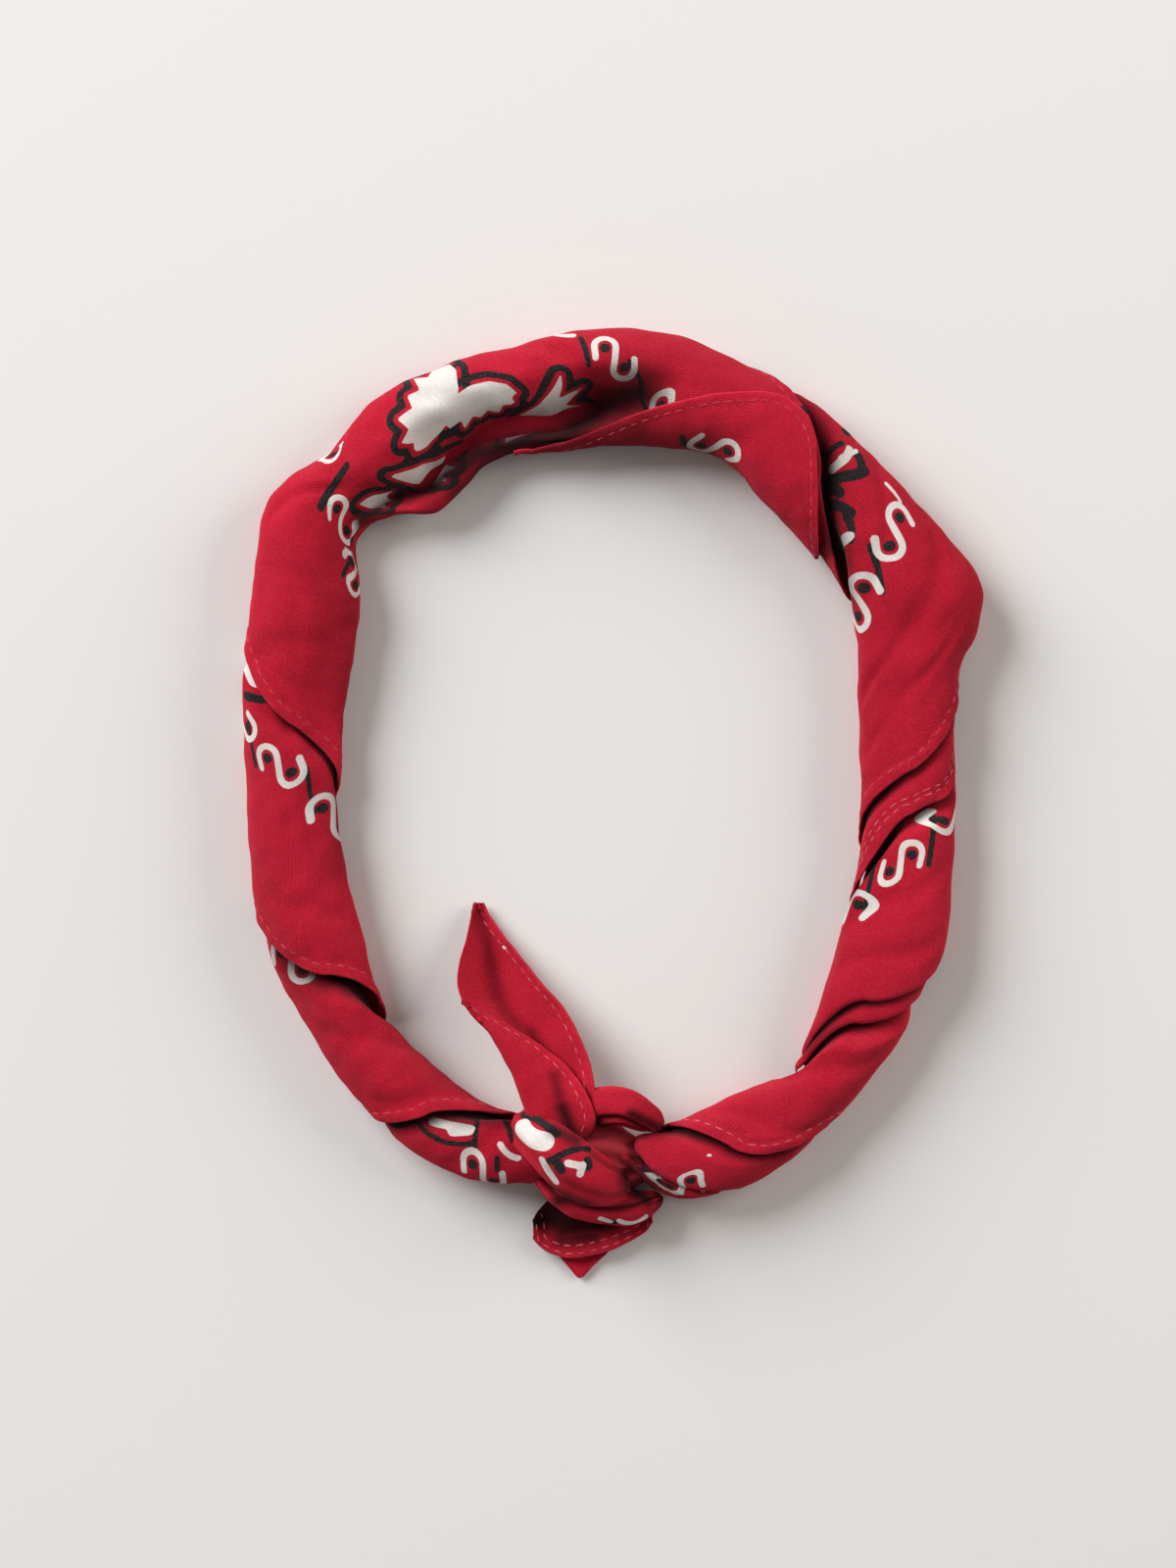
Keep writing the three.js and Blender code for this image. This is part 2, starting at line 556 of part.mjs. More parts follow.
// The long tail's sheet, and the part of it that folds over from the left.
function longTail(grow = 0) {
  const first = LONG_TAIL[0].y;
  const last = LONG_TAIL[LONG_TAIL.length - 1].y;
  const grid = (lift) =>
    Array.from({ length: TAIL_ROWS + 1 }, (_, i) => {
      const y = mix(first + grow, last - grow, i / TAIL_ROWS);
      const left = read(LONG_TAIL, "y", "left", y) - grow;
      const right = read(LONG_TAIL, "y", "right", y) + grow;
      return evenShares(0, 1, TAIL_ACROSS_STEPS).map(
        (share) => new THREE.Vector3(mix(right, left, share), y, tailHeight(y, share) + lift),
      );
    });
  return wallBetween(grid(WALL + grow), grid(-grow));
}

function longTailFold(grow = 0) {
  const first = LONG_TAIL_FOLD[0].y;
  const last = LONG_TAIL_FOLD[LONG_TAIL_FOLD.length - 1].y;
  const grid = (lift) =>
    Array.from({ length: TAIL_ROWS }, (_, i) => {
      const y = mix(first + grow, last - grow, i / (TAIL_ROWS - 1));
      const left = read(LONG_TAIL, "y", "left", y);
      const right = read(LONG_TAIL, "y", "right", y);
      const reach = read(LONG_TAIL_FOLD, "y", "reach", y);
      const raised = read(LONG_TAIL_FOLD, "y", "lift", y);
      return evenShares(0, 1, TAIL_ACROSS_STEPS).map((share) => {
        const x = mix(left - 0.6 - grow, reach + grow, share);
        const below = tailHeight(y, clamp((right - x) / (right - left), 0, 1));
        const hump = raised * Math.sin(Math.PI * clamp(share * 0.9, 0, 1)) * 0.9;
        return new THREE.Vector3(x, y, below + LAYER + hump + lift);
      });
    });
  return wallBetween(grid(WALL + grow), grid(-grow));
}

// One ply of the short tail, larger all round by grow.
function shortTail(rows, grow = 0) {
  const steps = 10;
  const [first, last] = [rows[0].x - grow, rows[rows.length - 1].x + grow];
  const grid = (lift) =>
    Array.from({ length: steps + 1 }, (_, i) => {
      const x = mix(first, last, i / steps);
      const top = read(rows, "x", "top", x) + grow;
      const bottom = read(rows, "x", "bottom", x) - grow;
      const z = read(rows, "x", "z", x);
      return evenShares(0, 1, 4).map((share) => {
        const height = z * (1 - 0.3 * share) + lift;
        return new THREE.Vector3(x, mix(top, bottom, share), height);
      });
    });
  return wallBetween(grid(WALL + grow), grid(-grow));
}

const solids = new Map();
solids.set("crown", crown());
solids.set("corner_flap", flap());
STRETCHES.forEach(({ name }) => solids.set(name, stretch(name)));
solids.set("inner_roll", innerRoll());

// The knot's pieces are cut free of each other, the uppermost first.
const grown = (name) => bundle(KNOT[name], CLEARANCE);
const clearFront = grown("knot_front_wrap");
const clearLower = grown("knot_lower_wrap");
const clearLoop = grown("knot_back_loop");
const clearTail = [longTail(CLEARANCE), longTailFold(CLEARANCE)];
const clearShort = shortTail(SHORT_TAIL_UPPER, CLEARANCE);
const clearEnds = ["right_tip", "right_end"].map((name) => stretch(name, CLEARANCE));
for (const name of ["left_low", "left_end", "right_low", "right_tip", "right_end"]) {
  solids.set(name, cutFree(solids.get(name), [clearFront, clearLower, clearLoop, ...clearTail]));
}
solids.set("knot_front_wrap", bundle(KNOT.knot_front_wrap));
solids.set("knot_lower_wrap", cutFree(bundle(KNOT.knot_lower_wrap), [clearFront]));
solids.set("long_tail_fold", cutFree(longTailFold(), [clearFront]));
solids.set("long_tail", cutFree(longTail(), [clearFront, clearTail[1]]));
solids.set("knot_back_loop", cutFree(bundle(KNOT.knot_back_loop), [clearFront, ...clearTail]));
solids.set("short_tail", cutFree(shortTail(SHORT_TAIL_UPPER), [clearLower]));
solids.set("short_tail_under", cutFree(shortTail(SHORT_TAIL_UNDER), [clearShort]));
const aroundCore = [clearFront, clearLower, clearLoop, clearShort, ...clearTail, ...clearEnds];
solids.set("knot_core", cutFree(bundle(KNOT.knot_core), aroundCore));

const group = new THREE.Group();
for (const [name, solid] of solids) {
  group.add(meshOf(name, solid, name === "inner_roll" ? CLOTH_DARK : CLOTH));
}

export default group;
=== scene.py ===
"""A square cotton bandana rolled on its diagonal, knotted into a ring and laid flat.

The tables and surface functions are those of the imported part, in millimetres, drawn here
at the fineness of cloth: thin plies, rolled hems, single stitches, weave and print.
"""

import bpy
import numpy as np
from bpy.props import FloatProperty, FloatVectorProperty, IntProperty, PointerProperty
from bpy.types import Operator, Panel, PropertyGroup
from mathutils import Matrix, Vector


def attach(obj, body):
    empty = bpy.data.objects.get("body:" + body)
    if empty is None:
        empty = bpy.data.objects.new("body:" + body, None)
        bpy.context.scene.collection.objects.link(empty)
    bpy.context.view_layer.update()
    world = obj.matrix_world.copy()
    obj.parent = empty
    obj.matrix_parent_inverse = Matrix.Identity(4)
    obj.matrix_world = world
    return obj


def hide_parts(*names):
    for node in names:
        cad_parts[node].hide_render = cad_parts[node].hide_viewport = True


bl_info = {
    "name": "Knotted bandana",
    "version": (1, 0, 0),
    "blender": (4, 5, 0),
    "location": "View3D > Sidebar > Bandana",
    "description": "Builds a rolled and knotted cotton bandana round its packed frame",
    "category": "Add Mesh",
}

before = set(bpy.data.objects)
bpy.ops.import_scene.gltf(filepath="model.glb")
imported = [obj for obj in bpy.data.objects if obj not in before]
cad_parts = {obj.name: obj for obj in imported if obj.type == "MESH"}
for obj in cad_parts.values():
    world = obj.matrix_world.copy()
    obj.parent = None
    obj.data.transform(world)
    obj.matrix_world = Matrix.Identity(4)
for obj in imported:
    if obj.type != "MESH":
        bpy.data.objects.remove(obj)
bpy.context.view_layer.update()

MM = 0.001
FAR = 99.0
BODY = "root"

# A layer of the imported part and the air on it, in mm.
WALL = 1.2
GAP = 0.4
LAYER = WALL + GAP

# How low the cloth's face and its reverse may lie, and how thin the ply may get, in mm.
LOWEST = 0.02
REVERSE_LOWEST = 0.3
THINNEST = 0.08

# The ring's middle in plan, in mm, and the band's section: the share of the girth left open
# at its seam below, how square it is, and how hard it is pressed flat below.
RING_CENTRE = (-1.2, 12.0)
SEAM = 0.006
SECTION_POWER = 2.4
UNDERSIDE_FLATNESS = 1.3

# About how many mm of the band one degree of the ring is.
MM_PER_DEGREE = 1.9

# The loose corner. It lies tight at its left end, in mm, comes up from there over some
# degrees, and has some air below it. On the girth it lies between two places and is never
# narrower than a share. It follows a share of the crown's folds, slump and hollow.
FLAP_LENGTH = 120
FLAP_TIGHT = 0.5
FLAP_SETTLES = 9.0
FLAP_LOOSE = 0.45
FLAP_HIGHEST = 0.3
FLAP_LOWEST = 0.84
FLAP_NARROWEST = 0.1
FLAP_FOLDS = 0.5
FLAP_SLUMP = 0.75
FLAP_HOLLOW = 0.05


def table(columns, rows):
    """A table as one array of numbers for each named column."""
    return dict(zip(columns.split(), np.array(rows, float).T))


# The band by the angle round the ring: its inner and outer distance and its height.
BAND = table(
    "angle inner outer height",
    [
        (-91, 106.0, 112.5, 12), (-87, 104.6, 115.5, 14), (-84, 103.2, 119.4, 15.5),
        (-80, 101.6, 123.2, 16), (-70, 98.8, 123.1, 16), (-60, 98.6, 118.2, 15),
        (-50, 90.4, 114.0, 15), (-40, 82.4, 110.2, 16), (-30, 76.4, 106.9, 16),
        (-20, 73.2, 101.2, 15.5), (-10, 70.8, 97.3, 15), (0, 69.7, 96.4, 15),
        (10, 70.4, 98.3, 15), (15, 71.4, 101.4, 15.5), (20, 73.3, 109.0, 16),
        (25, 76.0, 113.6, 16.5), (32, 78.9, 112.2, 17), (40, 81.0, 110.6, 17),
        (50, 82.8, 111.0, 17), (60, 85.6, 113.8, 18), (70, 90.9, 115.0, 18),
        (80, 89.2, 118.2, 18), (90, 88.3, 118.9, 18), (100, 87.9, 117.2, 18),
        (112, 87.6, 117.4, 17.5), (120, 83.6, 118.3, 17), (125, 82.8, 117.8, 16.5),
        (132, 90.0, 115.2, 16.5), (138, 91.5, 117.6, 16.5), (143, 85.5, 117.5, 17),
        (150, 79.2, 111.8, 17), (160, 75.1, 105.6, 16.5), (170, 73.7, 102.1, 16),
        (180, 73.2, 99.8, 15.5), (190, 75.4, 100.4, 15.5), (200, 77.4, 104.0, 15.5),
        (210, 80.4, 107.8, 15.5), (220, 86.0, 110.6, 15), (230, 93.6, 114.6, 15),
        (240, 97.2, 119.4, 15), (250, 100.6, 121.8, 15), (258, 101.5, 119.5, 14),
        (264, 102.0, 117.0, 12),
    ],
)

# Where each hem or fold crosses the band, as angles at five places round the girth.
EDGES = {
    "crown_right": (80, 67.4, 53.3, 36, 28),
    "crown_left": (152, 162, 173.8, 185.4, 195),
    "right_upper": (28, 11.4, -2.2, -15, -31.5),
    "right_strip": (29, -1.6, -10.5, -29.5, -32.5),
    "right_mid": (-31.5, -33, -42.8, -55.5, -57.5),
    "right_curl": (-34, -37.3, -46.6, -58, -59),
    "right_low": (-57.8, -58.2, -72.4, -81, -83),
    "right_end": (-74, -73, -85, -86, -85.5),
    "right_tip": (-84, -84.5, -88.4, -88.6, -87.5),
    "left_mid": (195, 204.6, 217.5, 227.4, 232),
    "left_low": (232, 236.4, 243, 255.4, 258),
    "left_end": (256, 260, 262.5, 262.5, 262),
}
EDGE_GIRTHS = (0, 0.25, 0.5, 0.75, 1)

# The stretches of the band. Each starts tuck degrees under another's edge and sunk mm deep,
# comes up over rise degrees to rest mm deep, and ends at its own edge. from and to are shares
# of the girth, hem says whether its edge is a turned hem or a plain fold, and the last column
# how far, in mm, the shade painted into the colour under the edge above reaches over it.
STRETCH_COLUMNS = "name under edge tuck sunk rise rest from to hem gloom"
STRETCHES = [
    dict(zip(STRETCH_COLUMNS.split(), row))
    for row in (
        ("right_upper", "crown_right", "right_upper", 4, 3.6, 6, 0, SEAM, 1 - SEAM, True, 8),
        ("right_strip", "right_upper", "right_strip", 3, 1.6, 4, 0.7, 0.2, 0.84, True, 3),
        ("right_mid", "right_strip", "right_mid", 5, 3.3, 4, 0, SEAM, 1 - SEAM, False, 4),
        ("right_curl", "right_mid", "right_curl", 3, 1.8, 2, 1.3, 0.22, 0.84, False, 3),
        ("right_low", "right_curl", "right_low", 2.6, 3.7, 4.5, 0, SEAM, 1 - SEAM, True, 4),
        ("right_end", "right_low", "right_end", 3, 1.6, 4, 0, SEAM, 1 - SEAM, False, 4),
        ("right_tip", "right_end", "right_tip", 2.4, 3.4, 1.6, 0.4, SEAM, 1 - SEAM, False, 1.6),
        ("left_mid", "crown_left", "left_mid", 4, 1.6, 5, 0, SEAM, 1 - SEAM, True, 1.5),
        ("left_low", "left_mid", "left_low", 3, 4, 5.5, 0, SEAM, 1 - SEAM, True, 8),
        ("left_end", "left_low", "left_end", 3, 2.4, 4, 0, SEAM, 1 - SEAM, False, 8),
    )
]

# The loose corner folded over the crown: its hem, as a share of the width from inside.
FLAP = table(
    "angle across",
    [
        (107, -0.06), (101, 0.03), (94, 0.1), (86.7, 0.22), (77.3, 0.42), (71, 0.61),
        (65.4, 0.79), (60.9, 0.8), (57.5, 0.7), (54.5, 0.52), (49.1, 0.22), (44, 0.02),
    ],
)

# Broad creases that press into the band. outer and inner are their angles at its two sides,
# depth is in mm, width in degrees, and from and to are shares of the girth.
CREASE_COLUMNS = "outer inner depth width from to"
CREASES = [
    dict(zip(CREASE_COLUMNS.split(), row))
    for row in (
        (131, 139, 2.2, 4, 0.2, 0.8),
        (14, 30, 1.1, 5, 0.2, 0.62),
        (118, 104, 1.6, 7, 0.48, 0.8),
        (-48, -60, 1.0, 3, 0.55, 0.8),
    )
]

# Finer folds, which only the cloth has: negative depths stand up as ridges.
FOLDS = [
    dict(zip(CREASE_COLUMNS.split(), row))
    for row in (
        (150, 118, 0.9, 2.2, 0.3, 0.72),
        (126, 96, 0.7, 2.6, 0.34, 0.7),
        (104, 80, 0.6, 2.0, 0.3, 0.62),
        (96, 74, -0.4, 2.4, 0.24, 0.5),
        (168, 150, 0.7, 2.4, 0.3, 0.75),
        (158, 176, 0.5, 2.0, 0.4, 0.8),
        (52, 24, 0.8, 2.0, 0.22, 0.66),
        (40, 10, 0.9, 2.4, 0.3, 0.76),
        (30, -4, 0.5, 2.0, 0.36, 0.7),
        (2, -26, 0.6, 2.2, 0.26, 0.72),
        (-12, -38, 0.7, 2.2, 0.3, 0.74),
        (-24, -46, 0.6, 2.0, 0.3, 0.7),
        (-44, -64, 0.6, 1.8, 0.3, 0.7),
        (-56, -76, 0.5, 1.6, 0.3, 0.7),
        (196, 216, 0.7, 2.2, 0.3, 0.72),
        (208, 224, 0.5, 2.0, 0.28, 0.66),
        (218, 238, 0.6, 2.2, 0.3, 0.72),
        (230, 250, 0.6, 1.8, 0.34, 0.7),
        (246, 258, 0.5, 1.6, 0.3, 0.7),
    )
]

# How far the band's inner slope has slumped, by the angle, as a share of its height.
SLUMP = table(
    "angle share",
    [
        (74, 0), (84, 0.4), (92, 0.7), (104, 0.72), (118, 0.66), (132, 0.5), (142, 0.36),
        (152, 0.42), (165, 0.52), (188, 0.48), (202, 0.28), (222, 0.16), (240, 0),
    ],
)

# The hollow along the inner side of the crown, under the printed roll.
HOLLOW = table(
    "angle girth drop",
    [
        (78, 0.53, 0), (86, 0.545, 4.5), (93, 0.555, 7.5), (100, 0.585, 8), (110, 0.565, 8),
        (119, 0.555, 7.5), (129, 0.58, 6), (137, 0.6, 3), (146, 0.61, 0),
    ],
)
HOLLOW_WIDTH = 0.055

# The hidden layers: how deep they lie under the band's face, in mm, and where they end.
INNER_ROLL = table(
    "angle depth",
    [
        (-90, 5.6), (-66, 5.8), (-52, 6.2), (-28, 5.4), (20, 4.9), (40, 5.3), (86, 5.3),
        (96, 6.4), (186, 5.4), (191, 5.7), (236, 5.7), (241, 4.2), (262, 4.2),
    ],
)

ROLL_ENDS = (-80, 254)

# The ridges that its layers make: height in mm, count, and slant.
ROLL_RIDGE = 0.25
ROLL_RIDGES = 3
ROLL_SLANT = 4

# How far, at least, the hidden layers lie under the band's top, in mm, and the places on the
# girth at which that top is looked for.
ROLL_COVER = 1.4
TOP_GIRTHS = np.linspace(0.35, 0.63, 15)

# The knot's bundles: middle line, half width and half height along them.
KNOT_COLUMNS = "x y z half_width half_height"
KNOT = {
    "knot_front_wrap": table(
        KNOT_COLUMNS,
        [
            (-24.4, -87.6, 5.0, 4.8, 3.4), (-23.0, -89.2, 12.0, 6.2, 4.8),
            (-18.4, -93.2, 16.6, 7.0, 5.8), (-11.4, -99.0, 17.2, 7.8, 6.4),
            (-4.8, -103.4, 15.0, 7.2, 6.2), (0.8, -105.6, 11.4, 5.6, 5.0),
            (4.6, -106.4, 7.6, 3.8, 3.6),
        ],
    ),
    "knot_back_loop": table(
        KNOT_COLUMNS,
        [
            (-8.0, -85.6, 9.0, 5.4, 3.6), (-3.2, -83.4, 13.6, 5.8, 3.8),
            (3.4, -83.2, 15.2, 5.4, 3.6), (9.2, -86.2, 13.2, 4.6, 3.2),
            (13.2, -89.6, 8.4, 3.4, 2.6),
        ],
    ),
    "knot_lower_wrap": table(
        KNOT_COLUMNS,
        [
            (-20.0, -98.2, 6.4, 3.4, 3.0), (-17.4, -104.0, 8.6, 4.2, 3.8),
            (-11.6, -108.8, 9.4, 4.6, 4.0), (-3.0, -111.2, 9.6, 4.8, 4.0),
            (5.4, -111.0, 9.2, 5.0, 3.8), (13.6, -108.6, 7.2, 3.6, 3.2),
        ],
    ),
    "knot_core": table(
        KNOT_COLUMNS,
        [
            (-14.0, -96.0, 6.6, 9.0, 6.6), (-10.4, -97.6, 7.6, 13.0, 7.6),
            (-3.6, -98.4, 7.6, 13.0, 7.6), (3.4, -99.0, 6.6, 9.0, 6.6),
            (12.0, -99.6, 5.2, 6.0, 5.2),
        ],
    ),
}

# A bundle's ends: how square they are, the share of the width that is left there, and the
# share of the length over which a crease starts.
END_SQUARENESS = 5
END_WIDTH = 0.2
END_SHARE = 0.12

# The gathers at a bundle's ends: depth in mm, count, and how they wander along it.
GATHER_DEPTH = 0.7
GATHERS = 11
GATHER_DRIFT = 1.5
GATHER_WAVE = 7

# Creases along each bundle of the knot: degrees round it, depth in mm, width in degrees, and
# how many degrees they drift round from one end to the other.
BUNDLE_CREASES = {
    "knot_front_wrap": ((58, 0.6, 12, 34), (150, 0.9, 12, -26), (205, 0.8, 14, 10)),
    "knot_lower_wrap": ((84, 1.7, 13, 34), (140, 0.7, 12, -16)),
    "knot_back_loop": ((50, 1.7, 11, -16), (20, 1.0, 9, 8), (128, 0.3, 22, 16)),
    "knot_core": ((60, 1.8, 12, 30), (95, 1.5, 10, -10), (130, 1.8, 14, 20)),
}

# A bundle's own painted shade, which darkens its colour: for each mm that it is pressed in,
# at its ends, and the most there is; and the painted shade all over the knot's core.
PRESS_PAINTED_SHADE = 0.5
END_PAINTED_SHADE = 0.75
MOST_PAINTED_SHADE = 0.9
CORE_PAINTED_SHADE = 0.35

# The long tail from its tip to the knot, and the part of it that folds over.
LONG_TAIL = table(
    "y left right crease low left_rise right_rise",
    [
        (-27.6, -38.3, -35.4, -36.9, 1.6, 0.5, 0.3),
        (-31.2, -38.8, -33.8, -36.4, 1.8, 1.6, 0.8),
        (-38.0, -40.1, -28.8, -33.8, 2.4, 3.2, 1.8),
        (-48.7, -42.4, -20.1, -31.4, 3.4, 5.2, 3.4),
        (-55.5, -39.9, -13.9, -29.4, 4.6, 5.6, 4.2),
        (-64.9, -32.0, -8.4, -22.0, 7.0, 4.6, 4.4),
        (-75.7, -26.4, -5.0, -16.0, 9.4, 3.4, 4.0),
        (-85.4, -23.2, -4.2, -13.6, 10.6, 2.6, 3.2),
        (-90.0, -20.6, -4.8, -12.8, 10.2, 1.8, 2.2),
        (-94.4, -16.6, -7.2, -12.2, 9.4, 1.0, 1.2),
    ],
)
LONG_TAIL_FOLD = table(
    "y reach lift",
    [
        (-54.2, -40.6, 1.8), (-58.2, -33.6, 2.2), (-64.9, -22.4, 2.8),
        (-70.5, -14.2, 3.2), (-75.7, -9.2, 3.4), (-81.1, -6.1, 3.4),
        (-86.4, -4.6, 3.2), (-91.0, -6.0, 2.8), (-94.0, -8.4, 2.2),
    ],
)

# How far the long tail's crease lies lower than in the table, in mm, and how its sides rise
# from it.
TAIL_DROP = 0.8
TAIL_CUP = 1.35
TAIL_CUP_POWER = 1.2

# The shade painted along that crease: its strength, and how far to the left it lies and how
# wide it is, in mm.
CREASE_PAINTED_SHADE = 0.45
CREASE_PAINTED_SHADE_LEFT = 1.2
CREASE_PAINTED_SHADE_WIDTH = 2.2

# The side that folds over: how far its fold lies past the left edge, in mm, the share of the
# table's lift that it has, the share of an arch that it makes, and how far down it starts, in
# mm, and over which share of its width it comes up from there.
FOLD_PAST = 0.6
FOLD_LIFT = 0.9
FOLD_ARCH = 0.9
FOLD_DIP = 1.6
FOLD_DIP_WIDTH = 0.12

# The shade painted on the long tail and on its fold where they go into the knot: its strength,
# the y at which it starts, and its reach in mm; and the shares of the fold's width where it
# starts and that it takes.
TAIL_PAINTED_SHADE_IN_KNOT = (0.9, -84, 8)
FOLD_PAINTED_SHADE_IN_KNOT = (0.85, -86, 7)
FOLD_PAINTED_SHADE_START = 0.2
FOLD_PAINTED_SHADE_WIDTH = 0.5

# How far from the edge a tail's end counts as lying, in mm.
TIP_INSET = 0.3

# The short tail's plies, by x, how far the upper one is cupped, in mm, and the share of its
# height that each loses from the knot to the hem. Each has shade painted on it up to one share
# of its width, and the painted shade fades over another.
SHORT_TAIL_CUP = 2.2
SHORT_TAIL_SLOPE = 0.3
SHORT_TAIL_PAINTED_SHADE_START = 0.3
SHORT_TAIL_PAINTED_SHADE_WIDTH = 0.45
SHORT_TAIL_UPPER = table(
    "x top bottom z",
    [
        (-21.8, -115.2, -120.8, 2.6), (-20.2, -112.6, -122.6, 3.0),
        (-17.4, -109.6, -124.5, 3.4), (-12.0, -107.6, -126.0, 4.4),
        (-6.0, -107.2, -125.4, 3.2), (0.0, -107.2, -123.6, 4.2),
        (5.4, -107.6, -121.2, 3.2), (9.8, -109.4, -118.4, 3.0),
        (11.2, -112.6, -116.0, 3.2),
    ],
)
SHORT_TAIL_UNDER = table(
    "x top bottom z",
    [
        (-15.6, -116.0, -124.4, 0.5), (-12.0, -114.0, -128.7, 0.5),
        (-8.8, -113.0, -131.7, 0.5), (-5.0, -113.0, -128.2, 0.5),
        (-1.2, -114.6, -124.8, 0.5),
    ],
)

# How many points the smaller sheets and the inner roll have along and across.
FLAP_COLUMNS = 44
TAIL_ROWS = 110
TAIL_COLUMNS = 44
TAIL_FOLD_ROWS = 80
SHORT_TAIL_ROWS = 90
SHORT_TAIL_COLUMNS = 30
ROLL_ROWS = 200
ROLL_SIDES = 48

